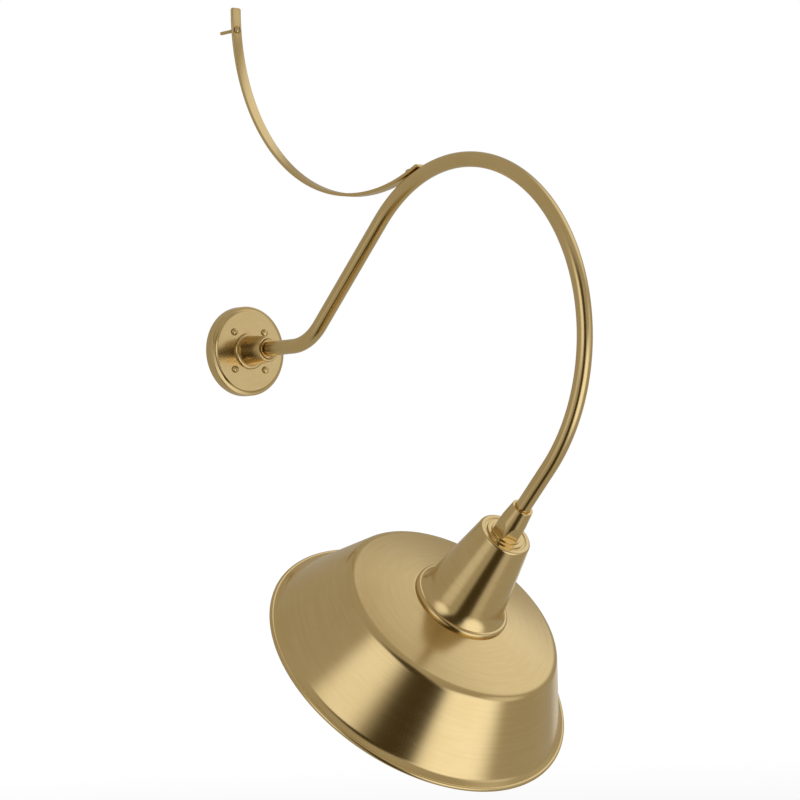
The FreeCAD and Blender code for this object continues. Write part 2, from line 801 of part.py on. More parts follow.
def seat_ring():
    ring = turned([(nipple_d / 2 + slip, coupling_length), (seat_ring_d / 2, coupling_length, 0.8),
                   (seat_ring_d / 2, seat_s), (nipple_d / 2 + slip, seat_s)])
    return placed(ring, head_place)


def neck():
    bore = nipple_d / 2 + slip
    top_r = neck_top_d / 2
    bead_s = foot_s - neck_bead_h
    cove_r = neck_cove_d / 2
    cove_s = bead_s - neck_cove_h
    crease_r = neck_crease_d / 2
    slope = (cove_r - top_r) / (cove_s - neck_top_s)
    wall = neck_wall * math.hypot(1, slope)
    flange_s = foot_s - neck_flange_wall

    def inner_r(s):
        return top_r + slope * (s - neck_top_s) - wall

    shape = turned([
        (bore, seat_s),
        (neck_groove_d / 2, seat_s, 0.4),
        (neck_groove_d / 2, neck_top_s, 0.4),
        (top_r, neck_top_s, 3.2),
        (cove_r, cove_s, neck_cove_round),
        (crease_r, bead_s),
        (neck_foot_d / 2, bead_s + 0.6, neck_bead_h * 0.6),
        (neck_foot_d / 2, foot_s, 1.0),
        (neck_flange_bore / 2, foot_s),
        (neck_flange_bore / 2, flange_s),
        (inner_r(flange_s), flange_s, 1.0),
        (inner_r(under_top_s), under_top_s, 1.5),
        (bore, under_top_s),
    ])
    hole_end = foot_s - clamp_screw_grip - pocket_gap
    for x, y in clamp_screw_places:
        shape = shape.cut(rod(clamp_screw_d + 2 * slip, hole_end, foot_s + 1, x, y))
    return placed(shape, head_place)


def shade():
    bead_r = shade_bead_d / 2
    bead_at = (shade_d / 2 - bead_r, foot_s + shade_height - bead_r)
    crown_edge = (crown_flat_d / 2, foot_s)
    crown_rise = (crown_rise_d / 2, foot_s + crown_drop)
    shoulder = (shoulder_d / 2, foot_s + shoulder_drop)
    line = [
        (shade_bore / 2, foot_s),
        (*crown_edge, crown_edge_round),
        (*crown_rise, bend_radius(crown_edge, crown_rise, shoulder, crown_bend)),
        (*shoulder, shoulder_round),
        (cone_end_d / 2, foot_s + cone_end_drop, flare_round),
        (bead_at[0], bead_at[1] - bead_r + shade_wall / 2),
    ]
    shell = turned(sheet_points(line, shade_wall))
    bead = Part.makeTorus(bead_at[0], bead_r, Vector(0, 0, bead_at[1]))
    shape = shell.fuse(bead).removeSplitter()
    for x, y in clamp_screw_places:
        shape = shape.cut(rod(clamp_screw_d + 2 * slip, foot_s - 1, foot_s + shade_wall + 1, x, y))
    return placed(shape, head_place)


def clamp_ring():
    top = foot_s + shade_wall
    end = top + clamp_thickness
    ring = turned([(clamp_bore / 2, top), (clamp_outer / 2, top), (clamp_outer / 2, end, 0.6),
                   (clamp_bore / 2, end, 0.6)])
    for x, y in clamp_screw_places:
        ring = ring.cut(rod(clamp_screw_d + 2 * slip, top - 1, top + clamp_thickness + 1, x, y))
    return placed(ring, head_place)


def clamp_screws():
    seat = foot_s + shade_wall + clamp_thickness
    length = clamp_thickness + shade_wall + clamp_screw_grip
    screw = slotted_screw(clamp_screw_d, length, clamp_screw_head_d, clamp_screw_head_h)
    screws = []
    for x, y in clamp_screw_places:
        screws.append(placed(screw, head_place.multiply(shift(x, y, seat))))
    return group(screws)


def nipple():
    start = coupling_length - coupling_thread_depth
    tube = turned([(nipple_bore / 2, start), (nipple_d / 2 - 0.6, start), (nipple_d / 2, start + 0.6),
                   (nipple_d / 2, nipple_end_s - 0.6), (nipple_d / 2 - 0.6, nipple_end_s),
                   (nipple_bore / 2, nipple_end_s)])
    return placed(tube, head_place)


def nipple_nuts():
    bore = nipple_d + 2 * slip
    upper = hex_nut(nut_flats, bore, under_top_s, bracket_s)
    lower = hex_nut(nut_flats, bore, second_nut_s, second_nut_s + nut_h)
    return group([placed(upper, head_place), placed(lower, head_place)])


def nipple_bushing():
    start = nipple_end_s - bushing_depth
    bushing = turned([(bushing_bore / 2, start), (nipple_bore / 2 - slip, start),
                      (nipple_bore / 2 - slip, nipple_end_s), (bushing_flange_d / 2, nipple_end_s, 0.4),
                      (bushing_flange_d / 2, bushing_end_s, 0.5), (bushing_bore / 2, bushing_end_s, 0.4)])
    return placed(bushing, head_place)


def bracket_screw_s():
    return second_nut_s + bracket_leg - bracket_width / 2


def socket_bracket():
    half = bracket_span / 2
    side = (-bracket_width / 2, bracket_width / 2)
    end_s = second_nut_s + bracket_leg
    bracket = block((-half, half), side, (bracket_s, second_nut_s))
    legs = []
    for low, high in ((-half, -half + bracket_wall), (half - bracket_wall, half)):
        legs.append(block((low, high), side, (bracket_s, end_s)))
    bracket = bracket.fuse(legs).removeSplitter()
    folds = [e for e in bracket.Edges if abs(e.CenterOfMass.z - bracket_s) < 0.01
             and abs(abs(e.CenterOfMass.x) - half) < 0.01]
    bracket = bracket.makeFillet(bracket_wall * 0.9, folds)
    bracket = bracket.cut(rod(nipple_d + 2 * slip, bracket_s - 1, second_nut_s + 1))
    across = Part.makeCylinder(bracket_screw_d / 2 + slip, bracket_span + 2,
                               Vector(-half - 1, 0, bracket_screw_s()), Vector(1, 0, 0))
    return placed(bracket.cut(across), head_place)


def socket_body_screws():
    length = bracket_span / 2 - socket_body_d / 2 + bracket_screw_depth
    screw = slotted_screw(bracket_screw_d, length, bracket_screw_head_d, bracket_screw_head_h)
    screws = []
    for side in (-1, 1):
        place = FreeCAD.Placement(Vector(side * bracket_span / 2, 0, bracket_screw_s()),
                                  FreeCAD.Rotation(Vector(0, 1, 0), 90 * side))
        screws.append(placed(screw, head_place.multiply(place)))
    return group(screws)


def socket_body():
    mouth_end = socket_s + socket_neck_h + socket_mouth_h
    neck_end = socket_s + socket_neck_h
    cavity = shell_r + pocket_gap
    body = turned([
        (0, socket_s),
        (socket_body_d / 2, socket_s, socket_edge_round),
        (socket_body_d / 2, neck_end, 1.0),
        (socket_mouth_d / 2, neck_end + 1.5, 1.5),
        (socket_mouth_d / 2, mouth_end, socket_edge_round),
        (cavity, mouth_end, 0.8),
        (cavity, floor_s),
        (0, floor_s),
    ])
    for x in (-wire_spread, wire_spread):
        body = body.cut(rod(wire_d + 2 * slip, socket_s - 1, floor_s + 1, x))
    for y in (-rivet_radius, rivet_radius):
        body = body.cut(rod(rivet_d + 2 * slip, floor_s - rivet_length, floor_s + 1, 0, y))
    for side in (-1, 1):
        reach = socket_body_d / 2 - bracket_screw_depth - 1
        bore = Part.makeCylinder(bracket_screw_d / 2 + slip, bracket_screw_depth + 2,
                                 Vector(side * reach, 0, bracket_screw_s()), Vector(side, 0, 0))
        body = body.cut(bore)
    return placed(body, head_place)


def screw_shell():
    inner = shell_r - shell_wall
    shell = turned([
        (shell_floor_bore / 2, floor_s),
        (shell_r, floor_s),
        (shell_r, floor_s + shell_length),
        (inner, floor_s + shell_length),
        (inner, floor_s + shell_wall),
        (shell_floor_bore / 2, floor_s + shell_wall),
    ])
    tab = block((tab_reach, shell_floor_bore / 2 + 1), (-tab_width / 2, tab_width / 2),
                (floor_s, floor_s + shell_wall))
    shell = shell.fuse(tab).removeSplitter()
    for y in (-rivet_radius, rivet_radius):
        shell = shell.cut(rod(rivet_d + 2 * slip, floor_s - 1, floor_s + 1, 0, y))
    return placed(shell, head_place)


def shell_rivets():
    rivets = []
    seat = floor_s + shell_wall
    for y in (-rivet_radius, rivet_radius):
        head = turned([(0, 0), (rivet_head_d / 2, 0), (rivet_head_d / 2, rivet_head_h, 0.4),
                       (0, rivet_head_h)])
        rivet = head.fuse(rod(rivet_d, -rivet_length, 0)).removeSplitter()
        rivets.append(placed(rivet, head_place.multiply(shift(0, y, seat))))
    return group(rivets)


def centre_contact():
    side = (-contact_width / 2, contact_width / 2)
    base = block((-contact_back, contact_front), side, (floor_s, floor_s + contact_strip))
    tongue = block((contact_front - contact_tongue, contact_front), side, (floor_s, floor_s + contact_h))
    return placed(base.fuse(tongue).removeSplitter(), head_place)


# ---- lamp ----------------------------------------------------------------------------------------

def lamp_contact():
    end = lamp_s + lamp_contact_h
    disc = turned([(0, lamp_s), (lamp_contact_d / 2, lamp_s, 0.5), (lamp_contact_d / 2, end), (0, end)])
    return placed(disc, head_place)


def lamp_insulator():
    start = lamp_s + lamp_contact_h
    cone = turned([(0, start), (lamp_insulator_top_d / 2, start), (lamp_cap_d / 2 - 0.6, lamp_cap_s - 0.4),
                   (lamp_cap_d / 2 - 0.6, lamp_cap_s), (0, lamp_cap_s)])
    return placed(cone, head_place)


def lamp_cap():
    outer = lamp_cap_d / 2
    cap = turned([(outer - lamp_cap_wall, lamp_cap_s), (outer, lamp_cap_s, 0.2), (outer, lamp_collar_s),
                  (outer - lamp_cap_wall, lamp_collar_s)])
    return placed(cap, head_place)


def lamp_housing():
    spigot = lamp_cap_d / 2 - lamp_cap_wall
    neck_s = lamp_collar_s + lamp_collar_h
    housing_r = lamp_housing_d / 2
    housing = turned([
        (0, lamp_cap_s),
        (spigot, lamp_cap_s),
        (spigot, lamp_collar_s),
        (lamp_collar_d / 2, lamp_collar_s, 0.4),
        (lamp_collar_d / 2, neck_s, 3.0),
        (housing_r, lamp_globe_s - 6.0, 12.0),
        (housing_r, lamp_globe_s),
        (lamp_board_d / 2 + pocket_gap, lamp_globe_s),
        (lamp_board_d / 2 + pocket_gap, lamp_globe_s - lamp_seat),
        (0, lamp_globe_s - lamp_seat),
    ])
    return placed(housing, head_place)


def lamp_board():
    start = lamp_globe_s - lamp_seat
    return placed(rod(lamp_board_d, start, start + lamp_board_wall), head_place)


def lamp_globe():
    outer = lamp_globe_d / 2
    seat_r = lamp_housing_d / 2
    tip = lamp_globe_s + lamp_globe_h
    line = [
        (0, tip),
        (outer, tip, outer * 0.86),
        (outer, lamp_globe_s + lamp_globe_h * 0.32, outer * 0.7),
        (seat_r, lamp_globe_s),
    ]
    return placed(turned(sheet_points(line, -lamp_globe_wall)), head_place)


# ---- export --------------------------------------------------------------------------------------

pieces = {
    "wall_plate": wall_plate,
    "plate_gasket": plate_gasket,
    "plate_screws": plate_screws,
    "arm_hub": arm_hub,
    "hub_locknut": hub_locknut,
    "gooseneck_tube": gooseneck_tube,
    "brace_strap": brace_strap,
    "brace_wall_screw": brace_wall_screw,
    "brace_arm_screw": brace_arm_screw,
    "arm_insert": arm_insert,
    "terminal_block": terminal_block,
    "terminal_clamps": terminal_clamps,
    "terminal_screws": terminal_screws,
    "terminal_block_screw": block_mount_screw,
    "live_lead": live_lead,
    "neutral_lead": neutral_lead,
    "earth_lead": earth_lead,
    "earth_lug": earth_lug,
    "earth_screw": earth_screw,
    "arm_coupling": arm_coupling,
    "coupling_seat_ring": seat_ring,
    "shade_neck": neck,
    "shade": shade,
    "shade_clamp_ring": clamp_ring,
    "shade_clamp_screws": clamp_screws,
    "threaded_nipple": nipple,
    "nipple_nuts": nipple_nuts,
    "nipple_bushing": nipple_bushing,
    "socket_bracket": socket_bracket,
    "socket_bracket_screws": socket_body_screws,
    "socket_body": socket_body,
    "socket_screw_shell": screw_shell,
    "socket_shell_rivets": shell_rivets,
    "socket_centre_contact": centre_contact,
    "lamp_contact": lamp_contact,
    "lamp_insulator": lamp_insulator,
    "lamp_cap": lamp_cap,
    "lamp_housing": lamp_housing,
    "lamp_led_board": lamp_board,
    "lamp_globe": lamp_globe,
}

os.makedirs("parts", exist_ok=True)
for name, make in pieces.items():
    shape = make()
    shape.exportStep("parts/" + name + ".step")
    print(name, "solids", len(shape.Solids), "volume", round(shape.Volume, 1), "valid", shape.isValid())
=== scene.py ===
"""Gooseneck wall sconce: its brass pieces, lampholder, lamp and studio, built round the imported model.

Metres. +Z is up, the wall is the plane Y = 0, and the light stands out on its -Y side.
Run as a script: the add-on layout only names the pieces, their sizes and their colours.
"""

import math
from types import SimpleNamespace

import bpy
from mathutils import Matrix, Vector


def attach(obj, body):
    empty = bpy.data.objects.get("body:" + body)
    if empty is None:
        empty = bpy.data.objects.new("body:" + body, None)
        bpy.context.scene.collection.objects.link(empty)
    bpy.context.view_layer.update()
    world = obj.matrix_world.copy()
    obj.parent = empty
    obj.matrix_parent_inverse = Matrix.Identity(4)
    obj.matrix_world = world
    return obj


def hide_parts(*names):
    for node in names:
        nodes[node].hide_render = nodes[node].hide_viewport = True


bl_info = {
    "name": "Gooseneck wall sconce",
    "version": (1, 0, 0),
    "blender": (4, 5, 0),
    "location": "View3D > Sidebar > Sconce",
    "description": "Builds the pieces, finishes and studio of a gooseneck wall sconce",
    "category": "Object",
}

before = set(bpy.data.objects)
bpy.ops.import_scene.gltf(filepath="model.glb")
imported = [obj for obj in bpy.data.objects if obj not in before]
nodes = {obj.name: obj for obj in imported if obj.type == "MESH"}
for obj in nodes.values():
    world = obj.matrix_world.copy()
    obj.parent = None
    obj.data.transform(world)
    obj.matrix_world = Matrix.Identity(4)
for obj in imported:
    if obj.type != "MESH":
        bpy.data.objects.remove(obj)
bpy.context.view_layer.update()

MM = 0.001
FIXED = "sconce"
LAMP = "lamp"

# The head's axis: its start at the top of the coupling, and the way it points.
HEAD_START = Vector((0.0, -0.552816, -0.221965))
HEAD_WAY = Vector((0.0, 0.7265747, -0.6870875))
WALL_WAY = Vector((0.0, -1.0, 0.0))


def axis_place(start, way):
    """Placement whose local Z runs along way, and whose X axis stays X."""
    z = way.normalized()
    x = Vector((1.0, 0.0, 0.0))
    y = z.cross(x)
    place = Matrix((x, y, z)).transposed().to_4x4()
    place.translation = start
    return place


HEAD_PLACE = axis_place(HEAD_START, HEAD_WAY)
WALL_PLACE = axis_place(Vector((0.0, 0.0, 0.0)), WALL_WAY)


# ---- finishes ------------------------------------------------------------------------------------


class Value:
    """An output of a shader node, with the arithmetic that the finishes use."""

    def __init__(self, tree, socket):
        self.tree = tree
        self.socket = socket

    def math(self, operation, *others, clamp=False):
        node = self.tree.nodes.new("ShaderNodeMath")
        node.operation = operation
        node.use_clamp = clamp
        for slot, value in zip(node.inputs, others):
            feed(self.tree, slot, value)
        return Value(self.tree, node.outputs[0])

    def __add__(self, other):
        return self.math("ADD", self, other)

    def __radd__(self, other):
        return self.math("ADD", other, self)

    def __sub__(self, other):
        return self.math("SUBTRACT", self, other)

    def __rsub__(self, other):
        return self.math("SUBTRACT", other, self)

    def __mul__(self, other):
        return self.math("MULTIPLY", self, other)

    def __rmul__(self, other):
        return self.math("MULTIPLY", other, self)

    def __truediv__(self, other):
        return self.math("DIVIDE", self, other)

    def clamped(self):
        return self.math("ADD", self, 0.0, clamp=True)


def feed(tree, slot, value):
    """Links or sets one input socket."""
    if isinstance(value, Value):
        tree.links.new(value.socket, slot)
    elif slot.type == "RGBA" and len(value) == 3:
        slot.default_value = (*value, 1.0)
    else:
        slot.default_value = value


class Finish:
    """A node tree being built."""

    def __init__(self, tree):
        self.tree = tree
        tree.nodes.clear()

    def node(self, kind, settings=None, sockets=None, output=0):
        """A node from its type, its settings, and the values or links of its sockets."""
        node = self.tree.nodes.new(kind)
        for name, value in (settings or {}).items():
            if name == "stops":
                for element, (place, colour) in zip(node.color_ramp.elements, value):
                    element.position = place
                    element.color = (*colour, 1.0)
            else:
                setattr(node, name, value)
        for name, value in (sockets or {}).items():
            feed(self.tree, node.inputs[name], value)
        return Value(self.tree, node.outputs[output])

    def vector(self, operation, *values):
        node = self.tree.nodes.new("ShaderNodeVectorMath")
        node.operation = operation
        for slot, value in zip(node.inputs, values):
            feed(self.tree, slot, value)
        return Value(self.tree, node.outputs[1 if operation in ("DOT_PRODUCT", "LENGTH") else 0])

    def scaled(self, vector, factor):
        return self.node("ShaderNodeVectorMath", {"operation": "SCALE"}, {0: vector, "Scale": factor})

    def noise(self, vector, scale, detail=2.0, roughness=0.5):
        return self.node("ShaderNodeTexNoise", {"noise_dimensions": "3D"},
                         {"Vector": vector, "Scale": scale, "Detail": detail, "Roughness": roughness})

    def step(self, value, low, high, to_low=0.0, to_high=1.0):
        """Smooth change from to_low to to_high as value goes from low to high."""
        return self.node("ShaderNodeMapRange", {"interpolation_type": "SMOOTHSTEP"},
                         {"Value": value, "From Min": low, "From Max": high,
                          "To Min": to_low, "To Max": to_high})

    def span(self, value, low, high, soft):
        """1 between low and high, with soft edges."""
        return self.step(value, low - soft, low + soft) * self.step(value, high - soft, high + soft, 1.0, 0.0)

    def mix(self, factor, a, b, blend="MIX"):
        node = self.tree.nodes.new("ShaderNodeMix")
        node.data_type = "RGBA"
        node.blend_type = blend
        for slot, value in ((node.inputs[0], factor), (node.inputs[6], a), (node.inputs[7], b)):
            feed(self.tree, slot, value)
        return Value(self.tree, node.outputs[2])

    def place(self):
        return self.node("ShaderNodeTexCoord", output=3)


def new_finish(name):
    material = bpy.data.materials.new(name)
    material.use_nodes = True
    return material, Finish(material.node_tree)


def surface(finish, colour, roughness, metallic=0.0, bump=None, **constants):
    """Principled surface on the material's output."""
    sockets = {"Base Color": colour, "Roughness": roughness, "Metallic": metallic}
    sockets.update(constants)
    if bump:
        height, distance = bump
        sockets["Normal"] = finish.node("ShaderNodeBump", None,
                                        {"Strength": 1.0, "Distance": distance, "Height": height})
    shader = finish.node("ShaderNodeBsdfPrincipled", None, sockets)
    finish.node_output = finish.tree.nodes.new("ShaderNodeOutputMaterial")
    finish.tree.links.new(shader.socket, finish.node_output.inputs["Surface"])


def turned_places(finish, start, way, lean):
    """(streak vector, height along the axis) for a piece turned about an axis.

    The streak vector changes fast along the outline, radius plus lean times height, and slowly round it.
    """
    point = finish.vector("SUBTRACT", finish.place(), start)
    height = finish.vector("DOT_PRODUCT", point, way)
    across = finish.vector("SUBTRACT", point, finish.scaled(way, height))
    radius = finish.vector("LENGTH", across)
    round_it = finish.vector("NORMALIZE", across)
    return round_it, radius + height * lean, height


def brass_turned(name, start, way, lean, look, lines_round=1.6, pitch=1.0, depth=1.0):
    """Satin brass brushed round and round on a lathe, or along the axis where lines_round and pitch are large."""
    material, finish = new_finish(name)
    round_it, run, _ = turned_places(finish, start, way, lean)
    pitch = pitch * look.brush_pitch
    lines = finish.vector("ADD", finish.scaled(round_it, lines_round), finish.scaled(way, run / pitch))
    broad = finish.vector("ADD", finish.scaled(round_it, lines_round * 1.5), finish.scaled(way, run / (pitch * 9)))
    brass_surface(finish, finish.noise(lines, 1.0, 3.0, 0.7), finish.noise(broad, 1.0, 2.0, 0.6), look, depth)
    return material


def brass_surface(finish, fine, broad, look, depth=1.0):
    """Colour, roughness and relief of brushed brass, from its fine lines and its broad bands."""
    cloud = finish.noise(finish.place(), 14.0, 3.0, 0.55)
    tone = finish.step(cloud * 0.55 + broad * 0.45, 0.36, 0.64)
    colour = finish.mix(tone, tuple(look.shade_colour), tuple(look.colour))
    roughness = (look.roughness - 0.03) + fine * 0.03 + broad * 0.03
    surface(finish, colour, roughness, 1.0, (fine, look.brush_depth * depth))


def brass_long(name, way, look):
    """Satin brass brushed along a piece that runs mostly along way."""
    material, finish = new_finish(name)
    point = finish.place()
    stretch = finish.node("ShaderNodeMapping", {"vector_type": "POINT"},
                          {"Vector": point, "Scale": tuple(1.0 / look.brush_pitch if c == 0 else 18.0 for c in way)})
    wide = finish.node("ShaderNodeMapping", {"vector_type": "POINT"},
                       {"Vector": point, "Scale": tuple(0.12 / look.brush_pitch if c == 0 else 9.0 for c in way)})
    brass_surface(finish, finish.noise(stretch, 1.0, 3.0, 0.7), finish.noise(wide, 1.0, 2.0, 0.6), look)
    return material


def plain_metal(name, colour, roughness, grain):
    """Small metal pieces: plated or bright, with a fine grain and faint stains."""
    material, finish = new_finish(name)
    fine = finish.noise(finish.place(), grain, 3.0, 0.6)
    stain = finish.noise(finish.place(), 160.0, 2.0, 0.5)
    dull = tuple(c * 0.78 for c in colour)
    surface(finish, finish.mix(finish.step(stain, 0.35, 0.65), dull, colour),
            roughness + (fine - 0.5) * 0.12, 1.0, (fine, 0.00002))
    return material


def moulded(name, colour, roughness, grain=900.0, depth=0.00002, coat=0.0, dullest=0.9):
    """Moulded plastic, rubber or glazed clay."""
    material, finish = new_finish(name)
    fine = finish.noise(finish.place(), grain, 2.0, 0.5)
    cloud = finish.noise(finish.place(), 60.0, 2.0, 0.5)
    dull = tuple(c * dullest for c in colour)
    surface(finish, finish.mix(finish.step(cloud, 0.3, 0.7), dull, colour),
            roughness + (fine - 0.5) * 0.08, 0.0, (fine, depth), **{"Coat Weight": coat})
    return material


# ---- settings ------------------------------------------------------------------------------------


def length(name, description, default):
    return bpy.props.FloatProperty(name=name, description=description, default=default, min=0.0,
                                   precision=5, subtype="DISTANCE", unit="LENGTH")


def angle(name, description, degrees):
    return bpy.props.FloatProperty(name=name, description=description, default=math.radians(degrees),
                                   subtype="ANGLE", unit="ROTATION")


class SconceBrass(bpy.types.PropertyGroup):
    colour: bpy.props.FloatVectorProperty(
        name="Brass", description="Colour of the brushed brass", subtype="COLOR",
        size=3, min=0.0, max=1.0, default=(0.74, 0.575, 0.300))
    shade_colour: bpy.props.FloatVectorProperty(
        name="Deeper brass", description="Colour of the slightly darker clouds in it", subtype="COLOR",
        size=3, min=0.0, max=1.0, default=(0.70, 0.535, 0.265))
    roughness: bpy.props.FloatProperty(
        name="Roughness", description="How satin the brass is", min=0.05, max=1.0, default=0.19)
    brush_pitch: bpy.props.FloatProperty(
        name="Brush pitch", description="Distance between brush lines", subtype="DISTANCE",
        unit="LENGTH", min=0.0001, max=0.01, default=0.0005)
    brush_depth: bpy.props.FloatProperty(
        name="Brush depth", description="Depth of the brush lines", subtype="DISTANCE",
        unit="LENGTH", min=0.0, max=0.001, default=0.0000015)


class SconcePlate(bpy.types.PropertyGroup):
    diameter: length("Plate", "Outer diameter of the wall plate", 0.118)
    depth: length("Depth", "Wall to the front of its raised face", 0.0173)
    rim_depth: length("Rim depth", "Wall to the front corner of its rim", 0.0138)
    face: length("Face", "Diameter of the raised face", 0.1058)
    screw_circle: length("Screw circle", "Diameter through the middles of its screws", 0.06985)
    screw_head: length("Screw head", "Diameter of a plate screw's head", 0.0096)
    hub_length: length("Hub", "Plate's face to the hub's tip", 0.041)
    hub_foot: length("Hub foot", "Diameter of the ring at the hub's foot", 0.0486)
    hub_base: length("Hub base", "Diameter of the hub's body at its foot", 0.040)
    hub_tip: length("Hub tip", "Diameter of the hub's tip", 0.0336)


class SconceArm(bpy.types.PropertyGroup):
    tube: length("Tube", "Outer diameter of the bent tube", 0.01905)
    wall: length("Tube wall", "Thickness of its wall", 0.0016)
    start: length("Start", "Wall to the tube's end inside the hub", 0.024)
    reach: length("Reach", "Wall to the first bend", 0.1105)
    bend: length("First bend", "Radius of the first bend", 0.0834)
    rise: angle("Rise", "Angle above level after the first bend", 43.6)
    slope: length("Slope", "Straight run up to the crook", 0.1769)
    crook: length("Crook", "Radius of the crook", 0.2215)
    crook_turn: angle("Crook angle", "How far the crook turns", 180.2)
    drop: length("Drop", "Straight run from the crook to the coupling", 0.0664)
    strap_width: length("Strap", "Width of the brace strap", 0.015)
    strap_thickness: length("Strap thickness", "Thickness of the brace strap", 0.0043)
    strap_flat: length("Strap's straight end", "Its straight end on the wall", 0.01095)
    strap_touch: angle("Strap touches at", "Angle up the crook where it lies on the tube", 21.6)
    strap_tail: length("Strap tail", "Strap past the point where it touches the tube", 0.015)


class SconceHead(bpy.types.PropertyGroup):
    coupling_length: length("Coupling", "Length of the coupling", 0.0438)
    coupling_top: length("Coupling top", "Diameter of the coupling where the tube goes in", 0.027)
    coupling_bottom: length("Coupling bottom", "Diameter of its cone at the foot", 0.0378)
    coupling_flats: length("Wrench flats", "Width across the coupling's flats", 0.0326)
    neck_top: length("Neck top", "Diameter of the neck's top", 0.0672)
    neck_height: length("Neck height", "Top of the neck to the shade", 0.1184)
    neck_foot: length("Neck foot", "Diameter of the bead at its foot", 0.1236)
    shade: length("Shade", "Diameter of the shade over its rim", 0.4064)
    shade_height: length("Shade height", "Crown to the rim's lowest point", 0.1187)
    shoulder: length("Shoulder", "Diameter of the shade's shoulder", 0.2846)
    sheet: length("Sheet", "Thickness of the shade's sheet", 0.0012)
    rim_bead: length("Rim bead", "Diameter of the rolled rim", 0.006)


# ---- studio --------------------------------------------------------------------------------------

CAMERA_AT = Vector((-2.70467, -3.62089, -0.29340))
CAMERA_AZIMUTH = -39.386
CAMERA_ELEVATION = -2.848
CAMERA_ROLL = -1.374
CAMERA_LENS = 153.979
CAMERA_SENSOR = 36.0


class SCONCE_OT_studio(bpy.types.Operator):
    """Camera, floor and studio light"""

    bl_idname = "sconce.studio"
    bl_label = "Studio"

    def execute(self, context):
        make_camera()
        make_world()
        make_floor()
        return {"FINISHED"}


def make_camera():
    data = bpy.data.cameras.new("camera")
    data.lens = CAMERA_LENS
    data.sensor_width = CAMERA_SENSOR
    data.sensor_fit = "HORIZONTAL"
    camera = bpy.data.objects.new("camera", data)
    bpy.context.scene.collection.objects.link(camera)
    a = math.radians(CAMERA_AZIMUTH)
    e = math.radians(CAMERA_ELEVATION)
    roll = math.radians(CAMERA_ROLL)
    back = Vector((math.sin(a) * math.cos(e), -math.cos(a) * math.cos(e), math.sin(e)))
    level = Vector((math.cos(a), math.sin(a), 0.0))
    rise = back.cross(level)
    right = level * math.cos(roll) + rise * math.sin(roll)
    above = rise * math.cos(roll) - level * math.sin(roll)
    place = Matrix((right, above, back)).transposed().to_4x4()
    place.translation = CAMERA_AT
    camera.matrix_world = place
    data.clip_end = 200.0
    bpy.context.scene.camera = camera


STUDIO_FRONT = -36.8        # degrees: the way from the light to the camera, as an azimuth
FILL = (0.430, 0.392, 0.318)
GAP = (0.055, 0.040, 0.015)
BOX_TINT = (1.0, 1.04, 1.12)
# Soft boxes: degrees to the right of the camera and up, the angles where each is full and gone, strength.
BOXES = (
    (45.0, -28.0, 14.0, 34.0, 0.85),
    (-36.0, 8.0, 8.0, 24.0, 0.65),
    (-62.0, -15.0, 4.0, 20.0, 0.28),
    (162.0, -6.0, 4.0, 16.0, 0.25),
    (75.0, 3.0, 6.0, 20.0, 0.34),
    (110.0, 45.0, 10.0, 34.0, 0.50),
    (30.0, -62.0, 6.0, 22.0, 0.12),
)


def studio_way(right, up):
    """Direction that lies right of the camera and up, in degrees, seen from the light."""
    turn = math.radians(STUDIO_FRONT + right)
    rise = math.radians(up)
    return math.sin(turn) * math.cos(rise), -math.cos(turn) * math.cos(rise), math.sin(rise)


def make_world():
    """White to the camera and to matt surfaces; soft boxes and a dark gap at the camera to metal."""
    scene = bpy.context.scene
    scene.view_settings.view_transform = "Standard"
    world = bpy.data.worlds.new("studio")
    world.use_nodes = True
    scene.world = world
    finish = Finish(world.node_tree)
    way = finish.node("ShaderNodeTexCoord", output=0)
    total = 0.0
    for right, up, inner, outer, strength in BOXES:
        near = finish.vector("DOT_PRODUCT", way, studio_way(right, up))
        total = total + finish.step(near, math.cos(math.radians(outer)), math.cos(math.radians(inner)), 0.0, strength)
    studio = finish.vector("ADD", FILL, finish.scaled(BOX_TINT, total))
    ahead = finish.vector("DOT_PRODUCT", way, studio_way(0.0, 0.0))
    aside = finish.vector("DOT_PRODUCT", way, studio_way(90.0, 0.0))
    high = finish.vector("DOT_PRODUCT", way, (0.0, 0.0, 1.0))
    aside = aside + finish.step(high, -0.78, -0.30, 0.18, 0.0)
    gap = finish.span(aside, -0.26, 0.295, 0.08) * finish.step(ahead, -0.05, 0.25)
    gap = gap * finish.step(high, 0.40, 0.75, 1.0, 0.0)
    studio = finish.mix(gap, studio, GAP)
    rays = finish.tree.nodes.new("ShaderNodeLightPath")
    glossy = Value(finish.tree, rays.outputs["Is Glossy Ray"])
    colour = finish.mix(glossy, (1.0, 1.0, 1.0), studio)
    background = finish.node("ShaderNodeBackground", None, {"Color": colour, "Strength": 1.0})
    output = finish.tree.nodes.new("ShaderNodeOutputWorld")
    finish.tree.links.new(background.socket, output.inputs["Surface"])


FLOOR_HEIGHT = -0.80
FLOOR_RADIUS = 60.0


